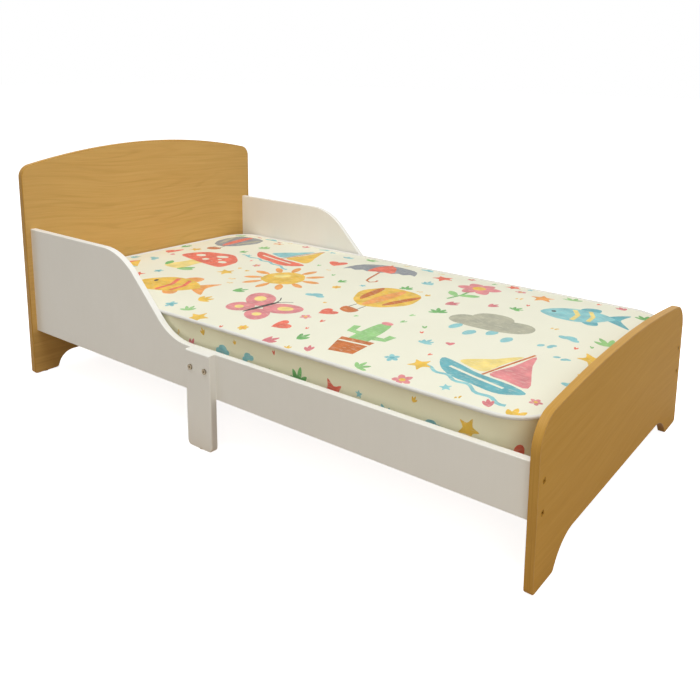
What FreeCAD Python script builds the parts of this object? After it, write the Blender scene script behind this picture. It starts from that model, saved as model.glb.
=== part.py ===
"""Toddler bed: two beech-faced end boards, two white side panels with a guard, two centre legs,
a slatted base on ledges and a loose foam mattress in a piped cover.

Frame in millimetres: +X from the headboard to the footboard, +Z up, origin on the floor under
the middle of the bed.  Left is -Y, as seen by someone who stands at the footboard.
"""
import FreeCAD, Part
import os
import Sketcher
from FreeCAD import Rotation, Vector

doc = FreeCAD.newDocument("toddler_bed")
dims = doc.addObject("Spreadsheet::Sheet", "dims")
AXIS_X = Vector(1, 0, 0)
AXIS_Y = Vector(0, 1, 0)
AXIS_Z = Vector(0, 0, 1)
QUARTER_TURN = 90
HALF_TURN = 180
SIDES = (("left", -1), ("right", 1))
ENDS = (("head", -1), ("foot", 1))


# Driving sizes in millimetres, angles in degrees, counts as whole numbers
SIZES = {
    # the whole bedstead
    "bed_length": 1436,
    "bed_width": 760,
    "hole_clear": 0.1,
    "pick_tolerance": 0.1,
    # end boards
    "head_height": 588,
    "foot_height": 312,
    "board_thick": 16,
    "band_thick": 2,
    "band_round": 1.5,
    "head_arch_radius": 1650,
    "foot_arch_radius": 2900,
    "head_shoulder_radius": 32,
    "foot_shoulder_radius": 58,
    "head_toe_width": 67,
    "foot_toe_width": 76,
    "toe_round": 8,
    "head_cut_height": 40,
    "foot_cut_height": 48,
    "head_cut_radius": 42,
    "foot_cut_radius": 85,
    # side panels
    "panel_thick": 15,
    "panel_setback": 14,
    "panel_bottom": 117,
    "panel_round": 2,
    "rail_top": 216,
    "guard_top": 386,
    "guard_length": 307,
    "curve_upper_radius": 160,
    "curve_lower_radius": 130,
    "curve_slope": 45,
    # centre legs, set a little towards the headboard
    "leg_width": 76,
    "leg_thick": 16,
    "leg_offset": 52,
    "leg_corner": 10,
    "leg_round": 3,
    # glides under the feet and legs
    "glide_head_radius": 6,
    "glide_head_thick": 2,
    "glide_radius": 1,
    "glide_length": 15,
    # slat ledges and the stretcher between the side panels
    "ledge_width": 20,
    "ledge_height": 20,
    "ledge_end_gap": 2,
    "stretcher_width": 30,
    "stretcher_height": 26,
    # slats and the webbing that spaces them
    "slat_top": 160,
    "slat_count": 13,
    "slat_width": 70,
    "slat_thick": 12,
    "slat_round": 3,
    "slat_margin": 10,
    "slat_end_gap": 2,
    "strap_width": 25,
    "strap_thick": 1.2,
    "strap_place": 200,
    # corner bolts, their barrel nuts and the dowels beside them
    "bolt_radius": 3,
    "bolt_head_radius": 5.5,
    "bolt_head_thick": 2,
    "bolt_length": 60,
    "bolt_recess": 0.5,
    "bolt_socket_radius": 2.3,
    "bolt_socket_depth": 1.4,
    "bolt_low": 134,
    "bolt_high": 188,
    "bolt_guard": 342,
    "nut_radius": 5,
    "nut_length": 12,
    "nut_depth": 40,
    "insert_radius": 5,
    "insert_length": 20,
    "dowel_radius": 4,
    "dowel_in_board": 11,
    "dowel_in_panel": 24,
    "dowel_low": 161,
    "dowel_guard": 265,
    # leg bolts and the tee nuts behind them
    "leg_bolt_radius": 3,
    "leg_bolt_head_radius": 6,
    "leg_bolt_head_thick": 2.4,
    "leg_bolt_length": 31,
    "leg_bolt_socket_radius": 2.3,
    "leg_bolt_socket_depth": 1.6,
    "leg_bolt_spacing": 44,
    "leg_bolt_drop": 36,
    "tee_nut_radius": 4,
    "tee_nut_head_radius": 8,
    "tee_nut_head_thick": 1.5,
    "tee_nut_length": 12,
    # wood screws
    "ledge_screw_radius": 2,
    "ledge_screw_head_radius": 4,
    "ledge_screw_head_thick": 2.4,
    "ledge_screw_length": 31,
    "ledge_screw_inset": 80,
    "stretcher_screw_radius": 2.5,
    "stretcher_screw_head_radius": 5,
    "stretcher_screw_head_thick": 3,
    "stretcher_screw_length": 50,
    "stretcher_screw_spacing": 14,
    "slat_screw_radius": 1.75,
    "slat_screw_head_radius": 3.5,
    "slat_screw_head_thick": 2.2,
    "slat_screw_length": 28,
    # mattress, and the room left round it
    "mattress_gap": 2.5,
    "mattress_lift": 0.3,
    "mattress_band": 100,
    "mattress_corner": 85,
    "mattress_edge": 5,
    "mattress_step": 3,
    "mattress_pull": 7,
    "mattress_crown": 8,
    "cover_thick": 4,
    "piping_radius": 4,
}
# Sizes worked out from the driving ones
FORMULAS = {
    "half_length": "=bed_length / 2",
    "half_width": "=bed_width / 2",
    "inner_x": "=bed_length / 2 - board_thick",
    "panel_outer": "=bed_width / 2 - panel_setback",
    "panel_inner": "=bed_width / 2 - panel_setback - panel_thick",
    "panel_middle": "=bed_width / 2 - panel_setback - panel_thick / 2",
    "leg_x": "=-leg_offset",
    "leg_outer": "=panel_outer + leg_thick",
    "leg_bolt_z": "=rail_top - leg_bolt_drop",
    "head_toe_middle": "=half_width - head_toe_width / 2",
    "foot_toe_middle": "=half_width - foot_toe_width / 2",
    "toe_side": "=half_width - toe_round",
    "toe_level": "=glide_head_thick + toe_round",
    "board_middle": "=half_length - board_thick / 2",
    "leg_middle": "=panel_outer + leg_thick / 2",
    "slat_bottom": "=slat_top - slat_thick",
    "ledge_bottom": "=slat_top - slat_thick - ledge_height",
    "ledge_inner": "=panel_inner - ledge_width",
    "ledge_middle_z": "=slat_top - slat_thick - ledge_height / 2",
    "ledge_end": "=inner_x - ledge_end_gap",
    "head_ledge_length": "=ledge_end + leg_x - stretcher_width / 2",
    "foot_ledge_length": "=ledge_end - leg_x - stretcher_width / 2",
    "slat_first": "=-inner_x + slat_margin + slat_width / 2",
    "slat_pitch": "=(2 * inner_x - 2 * slat_margin - slat_width) / (slat_count - 1)",
    "slat_half": "=panel_inner - slat_end_gap",
    "curve_start_x": "=-inner_x + guard_length",
    "curve_high_x": "=curve_start_x + curve_upper_radius * sin(curve_slope * 1deg)",
    "curve_high_z": "=guard_top - curve_upper_radius * (1 - cos(curve_slope * 1deg))",
    "curve_low_z": "=rail_top + curve_lower_radius * (1 - cos(curve_slope * 1deg))",
    "curve_low_x": "=curve_high_x + (curve_high_z - curve_low_z) / tan(curve_slope * 1deg)",
    "curve_end_x": "=curve_low_x + curve_lower_radius * sin(curve_slope * 1deg)",
    "leg_head_x": "=leg_x - leg_width / 2",
    "leg_foot_x": "=leg_x + leg_width / 2",
    "leg_corner_z": "=glide_head_thick + leg_corner",
    "leg_head_corner_x": "=leg_x - leg_width / 2 + leg_corner",
    "leg_foot_corner_x": "=leg_x + leg_width / 2 - leg_corner",
    "mattress_bottom": "=slat_top + strap_thick + mattress_lift",
    "mattress_seam": "=mattress_bottom + mattress_band",
    "mattress_half_length": "=inner_x - mattress_gap",
    "mattress_half_width": "=panel_inner - mattress_gap",
    "foam_thick": "=mattress_band - 2 * cover_thick",
}


def board_formulas(name, end, inset):
    """Corners of an end board's outline, drawn in all round by the inset."""
    return {
        f"{name}_side": f"=half_width - {inset}",
        f"{name}_low": f"=glide_head_thick + {inset}",
        f"{name}_arch": f"={end}_arch_radius - {inset}",
        f"{name}_shoulder": f"={end}_shoulder_radius - {inset}",
        f"{name}_reach": f"={end}_arch_radius - {end}_shoulder_radius",
        f"{name}_shoulder_z": f"={end}_height - {end}_arch_radius"
                              f" + sqrt({name}_reach ^ 2 - (half_width - {end}_shoulder_radius) ^ 2)",
        f"{name}_join_y": f"=(half_width - {end}_shoulder_radius) * {name}_arch / {name}_reach",
        f"{name}_join_z": f"={end}_height - {end}_arch_radius"
                          f" + ({name}_shoulder_z - {end}_height + {end}_arch_radius)"
                          f" * {name}_arch / {name}_reach",
        f"{name}_cut": f"={end}_cut_radius + {inset}",
        f"{name}_cut_top": f"={end}_cut_height + {inset}",
        f"{name}_cut_z": f"={end}_cut_height - {end}_cut_radius",
        f"{name}_cut_y": f"=half_width - {end}_toe_width"
                         f" - sqrt({end}_cut_radius ^ 2 - (glide_head_thick - {name}_cut_z) ^ 2)",
        f"{name}_toe": f"=toe_round - {inset}",
        f"{name}_toe_y": f"={name}_cut_y + sqrt(({end}_cut_radius + toe_round) ^ 2"
                         f" - (toe_level - {name}_cut_z) ^ 2)",
        f"{name}_tip_y": f"={name}_cut_y + ({name}_toe_y - {name}_cut_y)"
                         f" * {name}_cut / ({end}_cut_radius + toe_round)",
        f"{name}_tip_z": f"={name}_cut_z + (toe_level - {name}_cut_z)"
                         f" * {name}_cut / ({end}_cut_radius + toe_round)",
    }


def rectangle_formulas(name, inset, height, corner):
    """Sides and corners of the mattress outline at a height, drawn in all round by the inset."""
    return {
        name + "_long": f"=mattress_half_length - {inset}",
        name + "_wide": f"=mattress_half_width - {inset}",
        name + "_corner": f"={corner}",
        name + "_long_run": f"=mattress_half_length - {inset} - {name}_corner",
        name + "_wide_run": f"=mattress_half_width - {inset} - {name}_corner",
        name + "_height": f"={height}",
    }


# Outlines of the mattress: name, inset, height and corner radius
CROWN_SHARES = ((0.12, 0.45, 0.8), (0.32, 0.8, 0.7), (0.62, 1, 0.6))
LEVELS = [
    ("level_bottom", "mattress_edge", "mattress_bottom", "mattress_corner - mattress_edge"),
    ("level_low", "mattress_step", "mattress_bottom + mattress_edge", "mattress_corner - mattress_step"),
    ("level_middle", "mattress_pull", "mattress_bottom + mattress_band / 2",
     "mattress_corner - mattress_pull"),
    ("level_high", "mattress_step", "mattress_seam - mattress_edge", "mattress_corner - mattress_step"),
    ("level_seam", "mattress_edge", "mattress_seam", "mattress_corner - mattress_edge"),
] + [
    (f"level_crown_{number}", f"mattress_half_width * {inset}", f"mattress_seam + mattress_crown * {rise}",
     f"mattress_corner * {corner}")
    for number, (inset, rise, corner) in enumerate(CROWN_SHARES, 1)
]
OTHER_RECTANGLES = [
    ("foam", "2 * cover_thick", "mattress_bottom + cover_thick", "mattress_corner - 2 * cover_thick"),
    ("piping_upper", "piping_radius", "mattress_seam", "mattress_corner - piping_radius"),
    ("piping_lower", "piping_radius", "mattress_bottom + piping_radius", "mattress_corner - piping_radius"),
]
for end, _ in ENDS:
    FORMULAS.update(board_formulas(end + "_core", end, "band_thick"))
    FORMULAS.update(board_formulas(end + "_whole", end, "0"))
for rectangle in LEVELS + OTHER_RECTANGLES:
    FORMULAS.update(rectangle_formulas(*rectangle))
for row, (alias, content) in enumerate({**SIZES, **FORMULAS}.items(), 1):
    dims.set(f"A{row}", alias)
    dims.set(f"B{row}", str(content))
    dims.setAlias(f"B{row}", alias)
doc.recompute()


def read(name):
    """Value of a cell; a leading minus turns its sign."""
    if name.startswith("-"):
        return -float(dims.get(name[1:]))
    return float(dims.get(name))


def bound(name):
    """Expression text for a cell name with an optional leading minus."""
    if name.startswith("-"):
        return "-dims." + name[1:]
    return "dims." + name


def bind(thing, **sizes):
    """Tie properties of an object to expressions."""
    for prop, text in sizes.items():
        thing.setExpression(prop, text)
    return thing


def place(thing, x="0", y="0", z="0", axis=AXIS_X, angle=0):
    """Turn an object about an axis and tie its position to expressions."""
    thing.Placement.Rotation = Rotation(axis, angle)
    for key, text in (("x", x), ("y", y), ("z", z)):
        if text != "0":
            thing.setExpression("Placement.Base." + key, text)
    return thing


def make(kind, label):
    thing = doc.addObject(kind, label)
    thing.Label = label
    return thing


def origin_plane(body, role):
    return next(feature for feature in body.Origin.OriginFeatures if feature.Role == role)


def point_ties(curve, point, across, up):
    """Ties of one point of a curve to cells, measured from the sketch's origin."""
    return [(Sketcher.Constraint("DistanceX", -1, 1, curve, point, read(across)), bound(across)),
            (Sketcher.Constraint("DistanceY", -1, 1, curve, point, read(up)), bound(up))]


def radius_tie(curve, name):
    return [(Sketcher.Constraint("Radius", curve, read(name)), bound(name))]


def fasten(sketch, ties):
    """Add constraints in one go, then tie each one that has an expression to it."""
    first = sketch.ConstraintCount
    sketch.addConstraint([constraint for constraint, _ in ties])
    for number, (_, text) in enumerate(ties, first):
        if text:
            sketch.setExpression(f"Constraints[{number}]", text)


def arc_between(first, last, radius):
    """Anticlockwise arc of less than a half circle between two points."""
    chord = last - first
    rise = (radius ** 2 - (chord.Length / 2) ** 2) ** 0.5
    normal = Vector(-chord.y, chord.x, 0).normalize()
    circle = Part.Circle((first + last) / 2 + normal * rise, AXIS_Z, radius)
    return Part.ArcOfCircle(circle, circle.parameter(first), circle.parameter(last))


def trace(sketch, corners):
    """Add a closed run of lines and arcs to a sketch, with every corner and radius tied to cells.

    Each corner is (across, up, bend).  The run from it to the next one is straight where bend
    is None, or else an arc whose radius is the cell bend[1:], anticlockwise for "+".
    """
    points = [Vector(read(across), read(up), 0) for across, up, _ in corners]
    first = sketch.GeometryCount
    curves = []
    ends = []
    for start, stop, (_, _, bend) in zip(points, points[1:] + points[:1], corners):
        if bend is None:
            curves.append(Part.LineSegment(start, stop))
        elif bend[0] == "+":
            curves.append(arc_between(start, stop, read(bend[1:])))
        else:
            curves.append(arc_between(stop, start, read(bend[1:])))
        ends.append((2, 1) if bend and bend[0] == "-" else (1, 2))
    sketch.addGeometry(curves, False)
    ties = []
    for index, (across, up, bend) in enumerate(corners):
        follower = (index + 1) % len(corners)
        meeting = Sketcher.Constraint(
            "Coincident", first + index, ends[index][1], first + follower, ends[follower][0])
        ties.append((meeting, None))
        ties += point_ties(first + index, ends[index][0], across, up)
        if bend:
            ties += radius_tie(first + index, bend[1:])
    fasten(sketch, ties)


def outline(body, role, runs, label, offset):
    """Sketch of closed runs on an origin plane of the body, moved off it by the offset."""
    sketch = body.newObject("Sketcher::SketchObject", label)
    sketch.AttachmentSupport = [(origin_plane(body, role), "")]
    sketch.MapMode = "FlatFace"
    sketch.setExpression("AttachmentOffset.Base.z", offset)
    for corners in runs:
        trace(sketch, corners)
    return sketch


def pad(body, sketch, thickness):
    feature = body.newObject("PartDesign::Pad", "pad")
    feature.Profile = sketch
    feature.setExpression("Length", thickness)
    doc.recompute()
    return feature


def rim(feature, way):
    """Outer edges of the flat faces that look along an axis."""
    faces = [face for face in feature.Shape.Faces
             if face.normalAt(0, 0).cross(way).Length < dims.pick_tolerance]
    return [edge for face in faces for edge in face.OuterWire.Edges]


def rounded(body, feature, edges, radius):
    """Fillet those edges of the newest feature of a body."""
    names = [f"Edge{number}" for number, edge in enumerate(feature.Shape.Edges, 1)
             if any(edge.isSame(other) for other in edges)]
    fillet = body.newObject("PartDesign::Fillet", "rounding")
    fillet.Base = (feature, names)
    fillet.setExpression("Radius", radius)
    doc.recompute()


def joined(things, label):
    """One shape of the given objects, for use as a cutter."""
    fuse = make("Part::MultiFuse", label)
    fuse.Shapes = things
    return fuse


def cut(base, voids, label):
    """The base with the given voids taken out, as a piece with its own label."""
    piece = make("Part::Cut", label)
    piece.Base = base
    piece.Tool = voids[0] if len(voids) == 1 else joined(voids, label + "_voids")
    return piece


def group(things, label):
    """Identical loose solids under one label."""
    family = make("Part::Compound", label)
    family.Links = things
    return family


def cylinder(radius, height, label):
    return bind(make("Part::Cylinder", label), Radius=radius, Height=height)


def headed(kind, label, countersunk=False, extra="0"):
    """Head and shank along +Z from the face of the head, sized from the cells of its kind."""
    if countersunk:
        head = bind(make("Part::Cone", label + "_head"),
                    Radius1=f"dims.{kind}_head_radius + {extra}",
                    Radius2=f"dims.{kind}_radius + {extra}",
                    Height=f"dims.{kind}_head_thick")
    else:
        head = cylinder(f"dims.{kind}_head_radius + {extra}", f"dims.{kind}_head_thick", label + "_head")
    shank = cylinder(f"dims.{kind}_radius + {extra}", f"dims.{kind}_length + {extra}", label + "_shank")
    return joined([head, shank], label)


def fastener(kind, label, countersunk=False, **where):
    """A headed fastener with the void it needs, both at the same place."""
    solid = headed(kind, label, countersunk)
    void = headed(kind, label + "_void", countersunk, "dims.hole_clear")
    return place(solid, **where), place(void, **where)


def socketed(kind, label, **where):
    """A bolt with a hexagon socket in its head, and the void it needs."""
    socket = bind(make("Part::Prism", label + "_socket"),
                  Circumradius=f"dims.{kind}_socket_radius", Height=f"dims.{kind}_socket_depth")
    solid = cut(headed(kind, label + "_blank"), [socket], label)
    void = headed(kind, label + "_void", False, "dims.hole_clear")
    return place(solid, **where), place(void, **where)


pieces = []
voids = {"head": [], "foot": [], "left": [], "right": [], "left_leg": [], "right_leg": [], "glide": []}


# Corner bolts: flat-headed machine bolts through the end boards.  The low ones run into barrel
# nuts behind the mattress, and the guards' bolts into threaded inserts in the panels' ends
HEIGHTS = {"head": ("bolt_low", "bolt_high", "bolt_guard"), "foot": ("bolt_low", "bolt_high")}
inserts = []
for end, end_sign in ENDS:
    bolts = []
    nuts = []
    for side, side_sign in SIDES:
        for height in HEIGHTS[end]:
            tag = f"{end}_{side}_{height}"
            bolt, bolt_void = socketed(
                "bolt", tag, x=f"{end_sign} * (dims.half_length - dims.bolt_recess)",
                y=f"{side_sign} * dims.panel_middle", z=f"dims.{height}",
                axis=AXIS_Y, angle=-end_sign * QUARTER_TURN)
            recess = place(
                cylinder("dims.bolt_head_radius + dims.hole_clear", "dims.bolt_recess", tag + "_recess"),
                x=f"{end_sign} * dims.half_length", y=f"{side_sign} * dims.panel_middle",
                z=f"dims.{height}", axis=AXIS_Y, angle=-end_sign * QUARTER_TURN)
            bolts.append(bolt)
            voids[end] += [bolt_void, recess]
            voids[side].append(bolt_void)
            if height == "bolt_guard":
                where = {"x": f"{end_sign} * dims.inner_x", "y": f"{side_sign} * dims.panel_middle",
                         "z": f"dims.{height}", "axis": AXIS_Y, "angle": -end_sign * QUARTER_TURN}
                sleeve = place(cylinder("dims.insert_radius", "dims.insert_length", tag + "_sleeve"), **where)
                voids[side].append(place(
                    cylinder("dims.insert_radius + dims.hole_clear",
                             "dims.insert_length + dims.hole_clear", tag + "_sleeve_void"), **where))
                inserts.append(cut(sleeve, [bolt_void], tag + "_insert"))
                continue
            nut_x = f"{end_sign} * (dims.inner_x - dims.nut_depth)"
            nut_blank = place(
                cylinder("dims.nut_radius", "dims.nut_length", tag + "_nut_blank"),
                x=nut_x, y=f"{side_sign} * (dims.panel_middle - dims.nut_length / 2)",
                z=f"dims.{height}", axis=AXIS_X, angle=-side_sign * QUARTER_TURN)
            nut_void = place(
                cylinder("dims.nut_radius + dims.hole_clear",
                         "dims.panel_thick / 2 + dims.nut_length / 2 + dims.hole_clear", tag + "_nut_void"),
                x=nut_x, y=f"{side_sign} * dims.panel_inner", z=f"dims.{height}",
                axis=AXIS_X, angle=-side_sign * QUARTER_TURN)
            nuts.append(cut(nut_blank, [bolt_void], tag + "_nut"))
            voids[side].append(nut_void)
    pieces.append(group(bolts, f"{end}board_bolts"))
    pieces.append(group(nuts, f"{end}board_barrel_nuts"))
pieces.append(group(inserts, "guard_inserts"))


# Dowels: fluted beech pins that locate the panels in the end boards
DOWELS = {"head": ("dowel_low", "dowel_guard"), "foot": ("dowel_low",)}
for end, end_sign in ENDS:
    dowels = []
    for side, side_sign in SIDES:
        for height in DOWELS[end]:
            tag = f"{end}_{side}_{height}"
            where = {"y": f"{side_sign} * dims.panel_middle", "z": f"dims.{height}",
                     "axis": AXIS_Y, "angle": -end_sign * QUARTER_TURN}
            dowels.append(place(
                cylinder("dims.dowel_radius", "dims.dowel_in_board + dims.dowel_in_panel", tag),
                x=f"{end_sign} * (dims.inner_x + dims.dowel_in_board)", **where))
            void = place(
                cylinder("dims.dowel_radius + dims.hole_clear",
                         "dims.dowel_in_board + dims.dowel_in_panel + 2 * dims.hole_clear", tag + "_void"),
                x=f"{end_sign} * (dims.inner_x + dims.dowel_in_board + dims.hole_clear)", **where)
            voids[end].append(void)
            voids[side].append(void)
    pieces.append(group(dowels, f"{end}board_dowels"))


# Leg bolts from outside into flanged tee nuts let into the inner face of the side panels
leg_bolts = []
tee_nuts = []
for side, side_sign in SIDES:
    for number, shift in ((1, -1), (2, 1)):
        tag = f"{side}_leg_bolt_{number}"
        spot = {"x": f"dims.leg_x + {shift} * dims.leg_bolt_spacing / 2", "z": "dims.leg_bolt_z",
                "axis": AXIS_X}
        bolt, bolt_void = socketed(
            "leg_bolt", tag, y=f"{side_sign} * (dims.leg_outer + dims.leg_bolt_head_thick)",
            angle=side_sign * QUARTER_TURN, **spot)
        blank, nut_void = fastener(
            "tee_nut", tag + "_tee", y=f"{side_sign} * dims.panel_inner",
            angle=-side_sign * QUARTER_TURN, **spot)
        leg_bolts.append(bolt)
        tee_nuts.append(cut(blank, [bolt_void], tag + "_tee_nut"))
        voids[side] += [bolt_void, nut_void]
        voids[side + "_leg"].append(bolt_void)
pieces.append(group(leg_bolts, "leg_bolts"))
pieces.append(group(tee_nuts, "leg_tee_nuts"))


# Glides: nailed plastic discs under the four feet of the end boards and under both legs
glides = []
for side, side_sign in SIDES:
    for end, end_sign in ENDS:
        glide, void = fastener(
            "glide", f"{end}_{side}_glide", x=f"{end_sign} * dims.board_middle",
            y=f"{side_sign} * dims.{end}_toe_middle")
        glides.append(glide)
        voids[end].append(void)
        voids["glide"].append(void)
    glide, void = fastener(
        "glide", f"{side}_leg_glide", x="dims.leg_x", y=f"{side_sign} * dims.leg_middle")
    glides.append(glide)
    voids[side + "_leg"].append(void)
pieces.append(group(glides, "glides"))


# Slat ledges: battens screwed to the inner faces of the panels, either side of the stretcher
SCREW_SHARES = ((1, 0), (2, 0.5), (3, 1))
slat_count = int(dims.slat_count)
slat_voids = {"first_slat": [], "last_slat": []}
ledge_screws = []
slat_screws = []
for side, side_sign in SIDES:
    for end, _ in ENDS:
        blank = bind(
            make("Part::Box", f"{side}_{end}_ledge_blank"), Length=f"dims.{end}_ledge_length",
            Width="dims.ledge_width", Height="dims.ledge_height")
        start = "-dims.ledge_end" if end == "head" else "dims.ledge_end - dims.foot_ledge_length"
        low_y = "dims.ledge_inner" if side == "right" else "-dims.panel_inner"
        place(blank, x=start, y=low_y, z="dims.ledge_bottom")
        ledge_voids = []
        for number, share in SCREW_SHARES:
            screw, void = fastener(
                "ledge_screw", f"{side}_{end}_ledge_screw_{number}", countersunk=True,
                x=f"{start} + dims.ledge_screw_inset"
                  f" + {share} * (dims.{end}_ledge_length - 2 * dims.ledge_screw_inset)",
                y=f"{side_sign} * dims.ledge_inner", z="dims.ledge_middle_z",
                axis=AXIS_X, angle=-side_sign * QUARTER_TURN)
            ledge_screws.append(screw)
            ledge_voids.append(void)
            voids[side].append(void)
        which, last = ("first_slat", "0") if end == "head" else ("last_slat", "(dims.slat_count - 1)")
        screw, void = fastener(
            "slat_screw", f"{side}_{end}_slat_screw", countersunk=True,
            x=f"dims.slat_first + {last} * dims.slat_pitch",
            y=f"{side_sign} * (dims.panel_inner - dims.ledge_width / 2)", z="dims.slat_top",
            axis=AXIS_X, angle=HALF_TURN)
        slat_screws.append(screw)
        slat_voids[which].append(void)
        ledge_voids.append(void)
        pieces.append(cut(blank, ledge_voids, f"slat_ledge_{side}_{end}"))
pieces.append(group(ledge_screws, "ledge_screws"))
pieces.append(group(slat_screws, "slat_screws"))


# Stretcher: a batten between the panels behind the legs, screwed on from outside before the
# legs go on, which hides the screw heads
stretcher_blank = bind(make("Part::Box", "stretcher_blank"), Length="dims.stretcher_width",
                       Width="2 * dims.panel_inner", Height="dims.stretcher_height")
place(stretcher_blank, x="dims.leg_x - dims.stretcher_width / 2", y="-dims.panel_inner",
      z="dims.slat_bottom - dims.stretcher_height")
stretcher_screws = []
stretcher_voids = []
for side, side_sign in SIDES:
    for number, shift in ((1, -1), (2, 1)):
        screw, void = fastener(
            "stretcher_screw", f"{side}_stretcher_screw_{number}", countersunk=True,
            x=f"dims.leg_x + {shift} * dims.stretcher_screw_spacing / 2",
            y=f"{side_sign} * dims.panel_outer", z="dims.slat_bottom - dims.stretcher_height / 2",
            axis=AXIS_X, angle=side_sign * QUARTER_TURN)
        stretcher_screws.append(screw)
        stretcher_voids.append(void)
        voids[side].append(void)
pieces.append(cut(stretcher_blank, stretcher_voids, "stretcher"))
pieces.append(group(stretcher_screws, "stretcher_screws"))


# Slats: planed softwood boards with rounded long edges; the end ones are screwed down
for number in range(slat_count):
    name = f"slat_{number + 1:02d}"
    held = {0: "first_slat", slat_count - 1: "last_slat"}.get(number)
    body = make("PartDesign::Body", name + "_blank" if held else name)
    block = bind(body.newObject("PartDesign::AdditiveBox", "block"), Length="dims.slat_width",
                 Width="2 * dims.slat_half", Height="dims.slat_thick")
    doc.recompute()
    rounded(body, block, [edge for edge in rim(block, AXIS_X) if edge.Length > dims.slat_width],
            "dims.slat_round")
    place(body, x=f"dims.slat_first - dims.slat_width / 2 + {number} * dims.slat_pitch",
          y="-dims.slat_half", z="dims.slat_bottom")
    pieces.append(cut(body, slat_voids[held], name) if held else body)


# Webbing straps laid along the slats, one on each side of the middle, to keep them spaced
for side, side_sign in SIDES:
    strap = bind(make("Part::Box", "webbing_" + side), Width="dims.strap_width",
                 Length="(dims.slat_count - 1) * dims.slat_pitch", Height="dims.strap_thick")
    place(strap, x="dims.slat_first", z="dims.slat_top",
          y=f"{side_sign} * dims.strap_place - dims.strap_width / 2")
    pieces.append(strap)


# End boards: a core with a glued edge band all round, arched top and an arched cut between feet
def board_corners(name):
    """Corners of one of the two outlines of an end board, from its right foot anticlockwise."""
    return [
        (f"{name}_side", "toe_level", None),
        (f"{name}_side", f"{name}_shoulder_z", f"+{name}_shoulder"),
        (f"{name}_join_y", f"{name}_join_z", f"+{name}_arch"),
        (f"-{name}_join_y", f"{name}_join_z", f"+{name}_shoulder"),
        (f"-{name}_side", f"{name}_shoulder_z", None),
        (f"-{name}_side", "toe_level", f"+{name}_toe"),
        ("-toe_side", f"{name}_low", None),
        (f"-{name}_toe_y", f"{name}_low", f"+{name}_toe"),
        (f"-{name}_tip_y", f"{name}_tip_z", f"-{name}_cut"),
        (f"-{name}_cut_y", f"{name}_cut_top", None),
        (f"{name}_cut_y", f"{name}_cut_top", f"-{name}_cut"),
        (f"{name}_tip_y", f"{name}_tip_z", f"+{name}_toe"),
        (f"{name}_toe_y", f"{name}_low", None),
        ("toe_side", f"{name}_low", f"+{name}_toe"),
    ]


for end, offset in (("head", "-dims.half_length"), ("foot", "dims.inner_x")):
    inside = board_corners(end + "_core")
    core = make("PartDesign::Body", end + "_core_body")
    pad(core, outline(core, "YZ_Plane", [inside], end + "_core_outline", offset), "dims.board_thick")
    pieces.append(cut(core, voids[end], f"{end}board"))
    ring = make("PartDesign::Body", end + "_band_body")
    runs = [board_corners(end + "_whole"), inside]
    hoop = pad(ring, outline(ring, "YZ_Plane", runs, end + "_band_outline", offset), "dims.board_thick")
    rounded(ring, hoop, rim(hoop, AXIS_X), "dims.band_round")
    nails = [void for void in voids["glide"] if void in voids[end]]
    pieces.append(cut(ring, nails, f"{end}board_edge_band"))


# Side panels: white lacquered board, a guard at the head end that sweeps down to a low rail
PANEL_CORNERS = [
    ("inner_x", "panel_bottom", None),
    ("inner_x", "rail_top", None),
    ("curve_end_x", "rail_top", "-curve_lower_radius"),
    ("curve_low_x", "curve_low_z", None),
    ("curve_high_x", "curve_high_z", "+curve_upper_radius"),
    ("curve_start_x", "guard_top", None),
    ("-inner_x", "guard_top", None),
    ("-inner_x", "panel_bottom", None),
]
for side, offset in (("left", "dims.panel_inner"), ("right", "-dims.panel_outer")):
    body = make("PartDesign::Body", f"side_panel_{side}_body")
    slab = pad(body, outline(body, "XZ_Plane", [PANEL_CORNERS], f"side_panel_{side}_outline", offset),
               "dims.panel_thick")
    edges = [edge for edge in rim(slab, AXIS_Y) if edge.BoundBox.XLength > dims.pick_tolerance]
    rounded(body, slab, edges, "dims.panel_round")
    pieces.append(cut(body, voids[side], f"side_panel_{side}"))


# Centre legs: upright boards bolted to the outside of the panels, flush with the low rail
LEG_CORNERS = [
    ("leg_foot_corner_x", "glide_head_thick", "+leg_corner"),
    ("leg_foot_x", "leg_corner_z", None),
    ("leg_foot_x", "rail_top", None),
    ("leg_head_x", "rail_top", None),
    ("leg_head_x", "leg_corner_z", "+leg_corner"),
    ("leg_head_corner_x", "glide_head_thick", None),
]
for side, offset in (("left", "dims.panel_outer"), ("right", "-dims.leg_outer")):
    body = make("PartDesign::Body", f"centre_leg_{side}_body")
    slab = pad(body, outline(body, "XZ_Plane", [LEG_CORNERS], f"centre_leg_{side}_outline", offset),
               "dims.leg_thick")
    outer = [edge for edge in rim(slab, AXIS_Y)
             if abs(edge.BoundBox.Center.y) > dims.panel_outer + dims.pick_tolerance]
    rounded(body, slab, outer, "dims.leg_round")
    pieces.append(cut(body, voids[side + "_leg"], f"centre_leg_{side}"))


# Mattress: foam block in a sewn cover, crowned on top and drawn in between its piped edges
def rounded_rectangle(body, name):
    """Sketch of one of the mattress outlines."""
    long, wide, long_run, wide_run = (f"{name}_{part}" for part in ("long", "wide", "long_run", "wide_run"))
    corners = [
        (long, "-" + wide_run, None),
        (long, wide_run, f"+{name}_corner"),
        (long_run, wide, None),
        ("-" + long_run, wide, f"+{name}_corner"),
        ("-" + long, wide_run, None),
        ("-" + long, "-" + wide_run, f"+{name}_corner"),
        ("-" + long_run, "-" + wide, None),
        (long_run, "-" + wide, f"+{name}_corner"),
    ]
    return outline(body, "XY_Plane", [corners], name, f"dims.{name}_height")


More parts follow.
